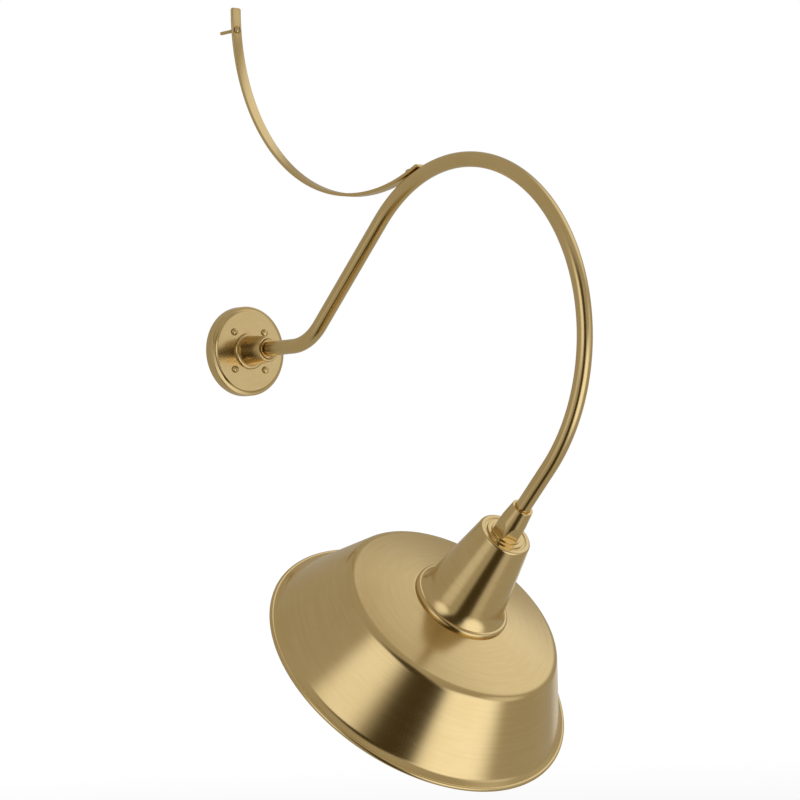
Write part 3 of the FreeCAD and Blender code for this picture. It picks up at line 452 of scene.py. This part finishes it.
def make_floor():
    deselect()
    bpy.ops.mesh.primitive_circle_add(vertices=96, radius=FLOOR_RADIUS, fill_type="NGON",
                                      location=(0.0, -0.4, FLOOR_HEIGHT))
    floor = bpy.context.object
    floor.name = "floor"
    floor.visible_glossy = False
    material, finish = new_finish("floor_white")
    place = finish.vector("ADD", finish.place(), (0.0, 0.0, 0.0))
    away = finish.step(finish.vector("LENGTH", place), 1.6, 5.0)
    rays = finish.tree.nodes.new("ShaderNodeLightPath")
    seen = Value(finish.tree, rays.outputs["Is Camera Ray"])
    matt = finish.node("ShaderNodeBsdfDiffuse", None, {"Color": (0.9, 0.9, 0.9)})
    white = finish.node("ShaderNodeEmission", None, {"Color": (1.0, 1.0, 1.0), "Strength": 1.0})
    clear = finish.node("ShaderNodeBsdfTransparent")
    shader = finish.node("ShaderNodeMixShader", None, {0: away * seen, 1: matt, 2: white})
    under = finish.node("ShaderNodeNewGeometry", output="Backfacing")
    shader = finish.node("ShaderNodeMixShader", None, {0: under, 1: shader, 2: clear})
    output = finish.tree.nodes.new("ShaderNodeOutputMaterial")
    finish.tree.links.new(shader.socket, output.inputs["Surface"])
    floor.data.materials.append(material)


# ---- modelling helpers ---------------------------------------------------------------------------

WELD = 1e-6
LATHE_STEPS = 256


def in_mm(group):
    """A group's lengths in millimetres, the unit of the outlines below. Its angles stay in radians."""
    sizes = {}
    for name in type(group).__annotations__:
        value = getattr(group, name)
        sizes[name] = value / MM if group.bl_rna.properties[name].unit == "LENGTH" else value
    return SimpleNamespace(**sizes)


def deselect():
    if bpy.context.object and bpy.context.object.mode != "OBJECT":
        bpy.ops.object.mode_set(mode="OBJECT")
    bpy.ops.object.select_all(action="DESELECT")


def edit(piece):
    """Goes into the piece's edit mode with all of it selected."""
    deselect()
    bpy.context.view_layer.objects.active = piece
    piece.select_set(True)
    bpy.ops.object.mode_set(mode="EDIT")
    bpy.ops.mesh.select_mode(type="VERT")
    bpy.ops.mesh.select_all(action="SELECT")


def new_piece(name, scale=(1.0, 1.0, 1.0)):
    """Names the primitive just added, and puts its place and scale into its mesh."""
    piece = bpy.context.object
    piece.scale = scale
    piece.name = name
    piece.data.name = name
    bpy.ops.object.transform_apply(location=True, rotation=True, scale=True)
    return piece


def put(piece, place):
    """Moves a piece to its place, in its mesh."""
    deselect()
    bpy.context.view_layer.objects.active = piece
    piece.select_set(True)
    piece.matrix_world = place
    bpy.ops.object.transform_apply(location=True, rotation=True, scale=True)
    return piece


def weld(piece):
    """Merges doubles and turns the faces outwards, and leaves edit mode."""
    bpy.ops.mesh.select_all(action="SELECT")
    bpy.ops.mesh.remove_doubles(threshold=WELD)
    bpy.ops.mesh.normals_make_consistent(inside=False)
    bpy.ops.object.mode_set(mode="OBJECT")
    return piece


def smooth(piece, degrees=30.0):
    """Smooth shading that keeps the edges sharper than the angle."""
    deselect()
    bpy.context.view_layer.objects.active = piece
    piece.select_set(True)
    bpy.ops.object.shade_smooth_by_angle(angle=math.radians(degrees))


def pick(piece, edges=None, faces=None):
    """Selects the edges or faces that pass a test, in the piece's edit mode."""
    edit(piece)
    bpy.ops.mesh.select_all(action="DESELECT")
    bpy.ops.mesh.select_mode(type="EDGE" if edges else "FACE")
    bpy.ops.object.mode_set(mode="OBJECT")
    points = piece.data.vertices
    if edges:
        for edge in piece.data.edges:
            edge.select = edges(*(points[i].co for i in edge.vertices))
    else:
        for face in piece.data.polygons:
            face.select = faces(face.center, face.normal)
    bpy.ops.object.mode_set(mode="EDIT")


def modify(piece, kind, **settings):
    """Adds a modifier and applies it."""
    deselect()
    bpy.context.view_layer.objects.active = piece
    piece.select_set(True)
    bpy.ops.object.modifier_add(type=kind)
    modifier = piece.modifiers[-1]
    for name, value in settings.items():
        setattr(modifier, name, value)
    bpy.ops.object.modifier_apply(modifier=modifier.name)


def combine(piece, other, operation):
    """Unites or cuts a closed piece with another, which goes."""
    modify(piece, "BOOLEAN", operation=operation, solver="EXACT", object=other)
    mesh = other.data
    bpy.data.objects.remove(other)
    bpy.data.meshes.remove(mesh)


def copy_to(piece, name, place):
    """Copy with its own mesh, at its place."""
    deselect()
    bpy.context.view_layer.objects.active = piece
    piece.select_set(True)
    bpy.ops.object.duplicate(linked=False)
    twin = bpy.context.object
    twin.name = name
    twin.data.name = name
    return put(twin, place)


def settle(piece, material, slot, *replaced, body=FIXED):
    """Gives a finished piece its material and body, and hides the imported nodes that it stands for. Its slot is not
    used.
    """
    if not piece.data.materials:
        piece.data.materials.append(material)
    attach(piece, body)
    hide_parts(*replaced)


# ---- outlines ------------------------------------------------------------------------------------

ARC_STEP = 7.5          # degrees between the points of a rounded corner
SUPPORT = 0.8           # mm: a point this far past each rounding keeps the flat beside it flat


def rounded(points, closed=True):
    """Line through (r, z) or (r, z, radius) corners, with each radius drawn as a short row of points."""
    line = []
    count = len(points)
    for i, point in enumerate(points):
        corner = Vector(point[:2])
        radius = point[2] if len(point) > 2 else 0.0
        if not radius or (not closed and i in (0, count - 1)):
            line.append(corner)
            continue
        before = Vector(points[i - 1][:2]) - corner
        after = Vector(points[(i + 1) % count][:2]) - corner
        half = before.angle(after) / 2
        reach = radius / math.tan(half)
        centre = corner + (before.normalized() + after.normalized()).normalized() * radius / math.sin(half)
        start = corner + before.normalized() * reach - centre
        turn = math.pi - 2 * half
        if start.x * after.y - start.y * after.x < 0:
            turn = -turn
        steps = max(2, math.ceil(math.degrees(abs(turn)) / ARC_STEP))
        if before.length > reach + SUPPORT * 2.5:
            line.append(corner + before.normalized() * (reach + SUPPORT))
        for k in range(steps + 1):
            angle = turn * k / steps
            line.append(centre + Vector((start.x * math.cos(angle) - start.y * math.sin(angle),
                                         start.x * math.sin(angle) + start.y * math.cos(angle))))
        if after.length > reach + SUPPORT * 2.5:
            line.append(corner + after.normalized() * (reach + SUPPORT))
    if closed:
        line.append(line[0])
    return line


def draw_line(name, points):
    """New mesh of one line through (r, z) points in the plane Y = 0, left in edit mode."""
    deselect()
    bpy.ops.mesh.primitive_plane_add(size=MM, location=(points[0].x * MM, 0.0, points[0].y * MM))
    piece = new_piece(name)
    edit(piece)
    bpy.ops.mesh.merge(type="CENTER")
    for start, end in zip(points, points[1:]):
        step = (end - start) * MM
        bpy.ops.mesh.extrude_vertices_move(TRANSFORM_OT_translate={"value": (step.x, 0.0, step.y)})
    return piece


def turned(name, outline, place=None, closed=True, steps=LATHE_STEPS):
    """Piece turned about its local Z axis from a closed outline, or from one that starts and ends on the axis."""
    piece = draw_line(name, rounded(outline, closed))
    bpy.ops.mesh.select_all(action="SELECT")
    bpy.ops.mesh.spin(steps=steps, angle=math.tau, center=(0.0, 0.0, 0.0), axis=(0.0, 0.0, 1.0))
    weld(piece)
    smooth(piece)
    return put(piece, place) if place else piece


def sheet_back(points, thickness):
    """The (r, z, radius) corners of a sheet's other side, in the opposite order."""
    ways = [(Vector(b[:2]) - Vector(a[:2])).normalized() for a, b in zip(points, points[1:])]
    sides = [Vector((-way.y, way.x)) for way in ways]
    back = []
    for i, point in enumerate(points):
        first = sides[max(i - 1, 0)]
        second = sides[min(i, len(sides) - 1)]
        corner = Vector(point[:2]) + (first + second) * thickness / (1 + first.dot(second))
        radius = point[2] if len(point) > 2 else 0.0
        if radius:
            bends_back = first.x * second.y - first.y * second.x > 0
            radius = radius - thickness if bends_back else radius + thickness
        back.append((corner.x, corner.y, radius))
    return back[::-1]


def bend_radius(before, corner, after, reach):
    """Radius of the arc that rounds a corner and starts reach away from it."""
    way_in = math.atan2(corner[1] - before[1], corner[0] - before[0])
    way_out = math.atan2(after[1] - corner[1], after[0] - corner[0])
    return reach / math.tan(abs(way_out - way_in) / 2)


def meeting(start, end, centre, radius):
    """Point where the line from start to end enters a circle."""
    start, centre = Vector(start[:2]), Vector(centre)
    way = (Vector(end[:2]) - start).normalized()
    along = (centre - start).dot(way)
    off = (start + way * along - centre).length
    return start + way * (along - math.sqrt(radius ** 2 - off ** 2))


# ---- pieces --------------------------------------------------------------------------------------


def slotted_screw(head_d, head_h, shank_d, length, plain_d=None, plain=0.0):
    """Round-headed slotted screw: its head stands on local Z = 0 and its shank runs back from it by length.

    A plain part of the shank, thicker where plain_d says so, runs back from the head by plain.
    """
    shank = shank_d / 2
    upper = [(plain_d / 2, -plain), (plain_d / 2, 0.0)] if plain_d else []
    outline = [(0.0, -length), (shank * 0.6, -length), (shank, shank * 0.6 - length),
               (shank, -plain), *upper, (head_d / 2, 0.0, 0.15),
               (head_d / 2, head_h * 0.25, 0.35), (head_d * 0.42, head_h * 0.78, head_h * 0.3),
               (head_d * 0.2, head_h, 2.0), (0.0, head_h)]
    screw = turned("screw", outline, closed=False, steps=64)
    deselect()
    width = head_d * 0.14
    bpy.ops.mesh.primitive_cube_add(size=MM, location=(0.0, 0.0, head_h * 1.05 * MM))
    combine(screw, new_piece("slot", (head_d * 1.2, width, head_h)), "DIFFERENCE")
    smooth(screw)
    return screw


def turned_by(place, degrees):
    return place @ Matrix.Rotation(math.radians(degrees), 4, "Z")


class SCONCE_OT_wall_plate(bpy.types.Operator):
    """Dished wall plate with its raised face"""

    bl_idname = "sconce.wall_plate"
    bl_label = "Wall plate"

    def execute(self, context):
        plate = in_mm(context.scene.sconce_plate)
        rim = plate.diameter / 2
        face = plate.face / 2
        wall = 2.2
        land = plate.rim_depth - wall
        back = plate.depth - 3.0
        bore = 11.05
        piece = turned("plate_spun", [
            (rim - wall, 0.0), (rim, 0.0, 0.3), (rim, plate.rim_depth, 1.4),
            (face + 1.5, plate.rim_depth + 0.8, 2.4), (face, plate.depth, 1.2),
            (bore, plate.depth), (bore, back),
            (face - wall, back, 0.8), (face - wall + 1.5, land, 0.6), (rim - wall, land, 0.4)])
        boss = turned("boss", [(0.0, 9.4), (4.5, 9.4, 0.3), (4.5, plate.depth - 1.5), (0.0, plate.depth - 1.5)],
                      Matrix.Translation(Vector((33.0, -8.0, 0.0)) * MM), closed=False, steps=48)
        combine(piece, boss, "UNION")
        smooth(piece)
        put(piece, WALL_PLACE)
        settle(piece, finish_named("brass_wall"), "satin_brass", "wall_plate")
        return {"FINISHED"}


class SCONCE_OT_hub(bpy.types.Operator):
    """Hub that holds the arm: ringed foot, conical body, rim and collar"""

    bl_idname = "sconce.hub"
    bl_label = "Hub"

    def execute(self, context):
        plate = in_mm(context.scene.sconce_plate)
        tube = in_mm(context.scene.sconce_arm).tube / 2 + 0.05
        foot = plate.hub_foot / 2
        tip_z = plate.depth + plate.hub_length
        tip = plate.hub_tip / 2
        ring_z = plate.depth + 3.4
        recess = tip_z - 1.6
        collar = 12.8
        piece = turned("hub_turned", [
            (8.0, 10.8), (11.0, 10.8, 0.3), (11.0, plate.depth), (foot, plate.depth, 0.6), (foot, ring_z, 2.4),
            (foot - 4.2, ring_z, 0.5), (foot - 4.8, ring_z - 0.9, 0.3), (plate.hub_base / 2, ring_z + 1.2, 0.5),
            (tip, tip_z, 1.4), (tip - 2.8, tip_z, 0.4), (collar + 0.2, recess), (collar, tip_z + 1.6, 0.6),
            (collar - 1.5, tip_z + 1.6, 0.4), (collar - 1.5, recess), (tube, recess), (tube, 24.0), (8.0, 24.0)],
            WALL_PLACE)
        settle(piece, finish_named("brass_wall"), "satin_brass", "arm_hub")
        return {"FINISHED"}


class SCONCE_OT_screws(bpy.types.Operator):
    """Slotted screws of the plate and the strap, modelled once per size"""

    bl_idname = "sconce.screws"
    bl_label = "Slotted screws"

    def execute(self, context):
        plate = in_mm(context.scene.sconce_plate)
        strap = strap_line(in_mm(context.scene.sconce_arm))
        brass = finish_named("small_brass")
        first = slotted_screw(plate.screw_head, 3.6, 4.17, plate.depth + 19.0,
                              4.8, 3.0 + 0.5)
        for k, slot_turn in enumerate((12.0, -38.0, 64.0, -9.0)):
            angle = math.radians(45.0 + 90.0 * k)
            at = Vector((math.cos(angle), math.sin(angle), 0.0)) * plate.screw_circle / 2
            at.z = plate.depth
            place = turned_by(WALL_PLACE @ Matrix.Translation(at * MM), slot_turn)
            settle(copy_to(first, f"plate_screw_{k + 1}", place), brass, "satin_brass", "plate_screws")
        bpy.data.objects.remove(first)
        seat = strap.wall_screw[0]
        for name, (d, z, slope), slot_turn, node, shank in (
                ("strap_wall_screw", strap.wall_screw, 78.0, "brace_wall_screw",
                 (4.6, seat + 32.0, 5.0, seat + 0.5)),
                ("strap_arm_screw", strap.arm_screw, 15.0, "brace_arm_screw",
                 (5.0, 12.0))):
            screw = slotted_screw(10.4, 3.8, *shank)
            screw.name = screw.data.name = name
            place = axis_place(Vector((0.0, -d, z)) * MM, Vector((0.0, -math.cos(slope), math.sin(slope))))
            put(screw, turned_by(place, slot_turn))
            settle(screw, brass, "satin_brass", node)
        return {"FINISHED"}


def arm_line(arm):
    """Turning points of the arm's middle line, as (distance from the wall, height), and the crook's middle."""
    s, c = math.sin(arm.rise), math.cos(arm.rise)
    slope = (arm.reach + arm.bend * s, arm.bend * (1 - c))
    crook = (slope[0] + arm.slope * c, slope[1] + arm.slope * s)
    middle = (crook[0] + arm.crook * s, crook[1] - arm.crook * c)
    return slope, crook, middle


def strap_line(arm):
    """Where the strap's arc and its two screws lie."""
    middle = arm_line(arm)[2]
    half = arm.strap_thickness / 2
    touch = arm.strap_touch
    lift = math.sin(touch)
    touch_r = arm.crook + arm.tube / 2 + half
    arc = (middle[0] - half - touch_r * lift) / (1 + lift)
    centre = (half + arc, middle[1] + (touch_r + arc) * math.cos(touch))
    touch_turn = math.pi / 2 + touch
    upper = arc - half
    sunk = math.sqrt(upper ** 2 - 5.2 ** 2)
    screw_turn = touch_turn - 7.0 / arc
    arm_screw = (centre[0] - sunk * math.cos(screw_turn), centre[1] - sunk * math.sin(screw_turn), screw_turn)
    top = centre[1] + arm.strap_flat
    wall_z = top - 29.9
    below = centre[1] - wall_z + 5.2
    wall_screw = (centre[0] - math.sqrt(upper ** 2 - below ** 2), wall_z, 0.0)
    return SimpleNamespace(arc=arc, centre=centre, top=top, end_turn=touch_turn + arm.strap_tail / arc,
                           arm_screw=arm_screw, wall_screw=wall_screw)


def at_plane(d, z):
    """Point of the arm's plane, in metres."""
    return 0.0, -d * MM, z * MM


def extrude_by(d, z):
    bpy.ops.mesh.extrude_region_move(TRANSFORM_OT_translate={"value": at_plane(d, z)})


class SCONCE_OT_arm(bpy.types.Operator):
    """Bent tube from the hub, over the crook and down into the coupling"""

    bl_idname = "sconce.arm"
    bl_label = "Arm"

    def execute(self, context):
        arm = in_mm(context.scene.sconce_arm)
        slope, crook, middle = arm_line(arm)
        deselect()
        bpy.ops.mesh.primitive_circle_add(vertices=96, radius=arm.tube / 2 * MM, fill_type="NOTHING",
                                          location=at_plane(arm.start, 0.0), rotation=(math.pi / 2, 0.0, 0.0))
        piece = new_piece("arm_tube")
        edit(piece)
        extrude_by(arm.reach - arm.start, 0.0)
        bpy.ops.mesh.spin(steps=24, angle=arm.rise, center=at_plane(arm.reach, arm.bend), axis=(1.0, 0.0, 0.0))
        extrude_by(crook[0] - slope[0], crook[1] - slope[1])
        bpy.ops.mesh.spin(steps=120, angle=arm.crook_turn, center=at_plane(*middle), axis=(-1.0, 0.0, 0.0))
        run = arm.drop + 18.0
        down = arm.rise - arm.crook_turn
        extrude_by(run * math.cos(down), run * math.sin(down))
        weld(piece)
        modify(piece, "SOLIDIFY", thickness=arm.wall * MM, offset=-1.0)
        smooth(piece)
        settle(piece, finish_named("brass_arm"), "satin_brass", "gooseneck_tube")
        return {"FINISHED"}


class SCONCE_OT_strap(bpy.types.Operator):
    """Flat brace strap with rounded ends and edges"""

    bl_idname = "sconce.strap"
    bl_label = "Brace strap"

    def execute(self, context):
        arm = in_mm(context.scene.sconce_arm)
        strap = strap_line(arm)
        half = arm.strap_thickness / 2
        deselect()
        bpy.ops.mesh.primitive_plane_add(size=MM, location=at_plane(half, strap.top))
        piece = new_piece("strap_forged", (arm.strap_width, arm.strap_thickness, 1.0))
        edit(piece)
        bpy.ops.mesh.delete(type="ONLY_FACE")
        bpy.ops.mesh.select_all(action="SELECT")
        extrude_by(0.0, -arm.strap_flat)
        bpy.ops.mesh.spin(steps=96, angle=strap.end_turn, center=at_plane(*strap.centre), axis=(1.0, 0.0, 0.0))
        bpy.ops.mesh.select_all(action="SELECT")
        bpy.ops.mesh.remove_doubles(threshold=WELD)
        bpy.ops.mesh.fill_holes(sides=0)
        weld(piece)
        side = arm.strap_width / 2 * MM - WELD
        longest = arm.strap_thickness * 1.05 * MM
        shortest = arm.strap_thickness * 0.95 * MM
        ends = [Vector(at_plane(half, strap.top)),
                Vector(at_plane(strap.centre[0] - strap.arc * math.cos(strap.end_turn),
                                strap.centre[1] - strap.arc * math.sin(strap.end_turn)))]

        def corner(a, b):
            middle = (a + b) / 2
            on_end = any(abs((middle - end).y) < 3e-4 and abs((middle - end).z) < 3e-4 for end in ends)
            return abs(middle.x) > side and shortest < (a - b).length < longest and on_end

        pick(piece, edges=corner)
        bpy.ops.mesh.bevel(offset=3.0 * MM, segments=7, affect="EDGES")
        bpy.ops.mesh.select_all(action="DESELECT")
        bpy.ops.mesh.edges_select_sharp(sharpness=math.radians(40.0))
        bpy.ops.mesh.bevel(offset=1.4 * MM, segments=4, affect="EDGES")
        weld(piece)
        smooth(piece, 35.0)
        settle(piece, finish_named("brass_arm"), "satin_brass", "brace_strap")
        return {"FINISHED"}


class SCONCE_OT_coupling(bpy.types.Operator):
    """Coupling with six wrench flats and a thin round foot, and the ring that it stands on"""

    bl_idname = "sconce.coupling"
    bl_label = "Coupling"

    def execute(self, context):
        head = in_mm(context.scene.sconce_head)
        tube = in_mm(context.scene.sconce_arm).tube / 2 + 0.05
        long = head.coupling_length
        flat = head.coupling_flats / 2
        bore = 6.65
        base = long - 1.6
        piece = turned("coupling_body", [
            (tube, 0.6), (tube + 0.85, 0.0), (head.coupling_top / 2, 0.0, 0.8),
            (head.coupling_bottom / 2, long - 0.4), (bore, long - 0.4), (bore, 18.1), (tube, 18.1)])
        for k in range(6):
            angle = math.radians(51.5 + 60.0 * k)
            normal = Vector((math.cos(angle), math.sin(angle), 0.0))
            edit(piece)
            bpy.ops.mesh.bisect(plane_co=normal * flat * MM, plane_no=normal, use_fill=True, clear_outer=True)
            weld(piece)
        foot = turned("coupling_foot", [
            (bore, base), (19.2, base, 0.5), (19.2, long, 0.4), (bore, long)])
        combine(piece, foot, "UNION")
        smooth(piece)

        def on_flat(centre, normal):
            from_axis = math.hypot(centre.x, centre.y) / MM
            return abs(normal.z) < 0.02 and abs(from_axis - flat) < 0.12

        pick(piece, faces=on_flat)
        bpy.ops.mesh.region_to_loop()
        bpy.ops.mesh.mark_sharp()
        put(piece, HEAD_PLACE)
        settle(piece, finish_named("brass_drawn"), "satin_brass", "arm_coupling")
        seat = long + 2.0
        ring = turned("seat_ring", [(bore, long), (24.5, long, 0.8), (24.5, seat), (bore, seat)], HEAD_PLACE)
        settle(ring, finish_named("brass_head"), "satin_brass", "coupling_seat_ring")
        return {"FINISHED"}


class SCONCE_OT_neck(bpy.types.Operator):
    """Tapered neck with its grooved top, cove and bead"""

    bl_idname = "sconce.neck"
    bl_label = "Neck"

    def execute(self, context):
        head = in_mm(context.scene.sconce_head)
        seat = head.coupling_length + 2.0
        top_z = seat - 1.0
        foot_z = top_z + head.neck_height
        bead_z = foot_z - 6.2
        cove_z = bead_z - 7.6
        top = head.neck_top / 2
        cove = 51.5
        foot = head.neck_foot / 2
        slope = (cove - top) / (cove_z - top_z)
        wall = 1.6 * math.hypot(1.0, slope)
        under = seat + 2.5
        flange = foot_z - 4.0

        def inner(z):
            return top + slope * (z - top_z) - wall

        piece = turned("neck_spun", [
            (6.65, seat), (27.7, seat, 0.4), (27.7, top_z, 0.4), (top, top_z, 3.2), (cove, cove_z, 32.0),
            (57.3, bead_z), (foot, bead_z + 0.6, 3.72), (foot, foot_z, 1.0), (48.0, foot_z), (48.0, flange),
            (inner(flange), flange, 1.0), (inner(under), under, 1.5), (6.65, under)], HEAD_PLACE)
        settle(piece, finish_named("brass_head"), "satin_brass", "shade_neck")
        return {"FINISHED"}


class SCONCE_OT_shade(bpy.types.Operator):
    """Spun cone shade with its crown, shoulder, flare, rolled rim and pale lining"""

    bl_idname = "sconce.shade"
    bl_label = "Shade"

    def execute(self, context):
        head = in_mm(context.scene.sconce_head)
        foot_z = head.coupling_length + 1.0 + head.neck_height
        bead = head.rim_bead / 2
        rim = (head.shade / 2 - bead, foot_z + head.shade_height - bead)
        crown = (62.0, foot_z)
        rise = (102.0, foot_z + 8.45)
        shoulder = (head.shoulder / 2, foot_z + 18.5)
        outer = [(46.0, foot_z), (*crown, 20.0), (*rise, bend_radius(crown, rise, shoulder, 20.0)),
                 (*shoulder, 15.0), (192.3, foot_z + 108.8, 9.0), (rim[0], rim[1] - bead + head.sheet / 2)]
        inner = sheet_back(outer, head.sheet)
        first = meeting(outer[-2], outer[-1], rim, bead)
        last = meeting(inner[1], inner[0], rim, bead)
        from_angle = math.atan2(first.y - rim[1], first.x - rim[0])
        to_angle = math.atan2(last.y - rim[1], last.x - rim[0])
        turn = (to_angle - from_angle) % math.tau
        steps = 40
        roll = [(rim[0] + bead * math.cos(from_angle + turn * k / steps),
                 rim[1] + bead * math.sin(from_angle + turn * k / steps)) for k in range(steps + 1)]
        piece = turned("shade_spun", outer[:-1] + roll + inner[1:])
        lining = finish_named("pale_lining")
        piece.data.materials.append(finish_named("brass_head"))
        piece.data.materials.append(lining)
        rim_from = (rim[0] - bead * 1.2) * MM

        def inside(centre, normal):
            from_axis = Vector((centre.x, centre.y, 0.0))
            return from_axis.length < rim_from and normal.dot(from_axis.normalized() - Vector((0.0, 0.0, 1.0))) < 0.0

        pick(piece, faces=inside)
        piece.active_material_index = 1
        bpy.ops.object.material_slot_assign()
        put(piece, HEAD_PLACE)
        settle(piece, lining, "satin_brass", "shade")
        return {"FINISHED"}


# ---- finishes of all pieces ----------------------------------------------------------------------


def finish_named(name):
    """A material that the finishes operator has made."""
    return bpy.data.materials[name]


class SCONCE_OT_finishes(bpy.types.Operator):
    """Brass, steel, porcelain and the other finishes"""

    bl_idname = "sconce.finishes"
    bl_label = "Finishes"

    def execute(self, context):
        look = context.scene.sconce_brass
        brass_turned("brass_head", HEAD_START, HEAD_WAY, 1.0, look)
        brass_turned("brass_wall", Vector((0.0, 0.0, 0.0)), WALL_WAY, -1.0, look)
        brass_turned("brass_drawn", HEAD_START, HEAD_WAY, 1.0, look, 26.0, 60.0, 40.0)
        brass_long("brass_arm", (0, 1, 1), look)
        plain_metal("zinc_steel", (0.62, 0.62, 0.60), 0.34, 2500.0)
        plain_metal("nickel_plate", (0.75, 0.74, 0.71), 0.22, 2500.0)
        plain_metal("small_brass", (0.74, 0.57, 0.29), 0.26, 2500.0)
        moulded("white_china", (0.86, 0.85, 0.80), 0.16, 300.0, 0.00003, 0.6)
        moulded("black_plastic", (0.030, 0.030, 0.033), 0.45)
        moulded("gasket_rubber", (0.025, 0.025, 0.025), 0.8, 1500.0, 0.00006)
        moulded("lamp_white", (0.82, 0.82, 0.80), 0.42)
        moulded("opal_cover", (0.90, 0.89, 0.86), 0.38, 700.0, 0.00001)
        moulded("black_glass", (0.015, 0.015, 0.018), 0.08, 500.0, 0.00001, 0.5)
        moulded("pale_lining", (0.84, 0.82, 0.76), 0.35, 500.0, 0.00001, 0.3, 0.98)
        moulded("lead_brown", (0.16, 0.07, 0.03), 0.5)
        moulded("lead_blue", (0.03, 0.10, 0.40), 0.5)
        moulded("lead_green", (0.05, 0.30, 0.08), 0.5)
        return {"FINISHED"}


PACKED = {
    "brass_wall": ("wall_plate", "arm_hub"),
    "brass_arm": ("gooseneck_tube", "brace_strap"),
    "brass_head": ("arm_coupling", "coupling_seat_ring", "shade_neck", "shade"),
    "small_brass": ("plate_screws", "brace_wall_screw", "brace_arm_screw", "terminal_clamps", "arm_insert",
                    "socket_centre_contact"),
    "zinc_steel": ("hub_locknut", "earth_screw", "shade_clamp_ring", "shade_clamp_screws", "threaded_nipple",
                   "nipple_nuts", "socket_bracket", "socket_bracket_screws", "terminal_block_screw",
                   "terminal_screws"),
    "gasket_rubber": ("plate_gasket",),
    "black_plastic": ("terminal_block", "nipple_bushing"),
    "lead_brown": ("live_lead",),
    "lead_blue": ("neutral_lead",),
    "lead_green": ("earth_lead",),
    "nickel_plate": ("earth_lug", "socket_screw_shell", "socket_shell_rivets", "lamp_contact", "lamp_cap"),
    "white_china": ("socket_body",),
    "black_glass": ("lamp_insulator",),
    "lamp_white": ("lamp_housing", "lamp_led_board"),
    "opal_cover": ("lamp_globe",),
}


class SCONCE_OT_packed(bpy.types.Operator):
    """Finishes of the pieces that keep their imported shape"""

    bl_idname = "sconce.packed"
    bl_label = "Packed pieces"

    def execute(self, context):
        for name, pieces in PACKED.items():
            for node in pieces:
                nodes[node].data.materials.clear()
                nodes[node].data.materials.append(finish_named(name))
        return {"FINISHED"}


GROUPS = {"sconce_brass": SconceBrass, "sconce_plate": SconcePlate, "sconce_arm": SconceArm,
          "sconce_head": SconceHead}
OPERATORS = (SCONCE_OT_studio, SCONCE_OT_finishes, SCONCE_OT_packed, SCONCE_OT_wall_plate, SCONCE_OT_hub,
             SCONCE_OT_screws, SCONCE_OT_arm, SCONCE_OT_strap, SCONCE_OT_coupling, SCONCE_OT_neck,
             SCONCE_OT_shade)


class VIEW3D_PT_sconce(bpy.types.Panel):
    """Pieces of the sconce"""

    bl_label = "Gooseneck wall sconce"
    bl_space_type = "VIEW_3D"
    bl_region_type = "UI"
    bl_category = "Sconce"

    def draw(self, context):
        column = self.layout.column()
        for group, kind in GROUPS.items():
            for name in kind.__annotations__:
                column.prop(getattr(context.scene, group), name)
        for operator in OPERATORS:
            column.operator(operator.bl_idname)


CLASSES = (*GROUPS.values(), *OPERATORS, VIEW3D_PT_sconce)


def register():
    for cls in CLASSES:
        bpy.utils.register_class(cls)
    for name, kind in GROUPS.items():
        setattr(bpy.types.Scene, name, bpy.props.PointerProperty(type=kind))


def unregister():
    for name in GROUPS:
        delattr(bpy.types.Scene, name)
    for cls in reversed(CLASSES):
        bpy.utils.unregister_class(cls)


def main():
    register()
    for operator in OPERATORS:
        group, name = operator.bl_idname.split(".")
        getattr(getattr(bpy.ops, group), name)()


if __name__ == "__main__":
    main()
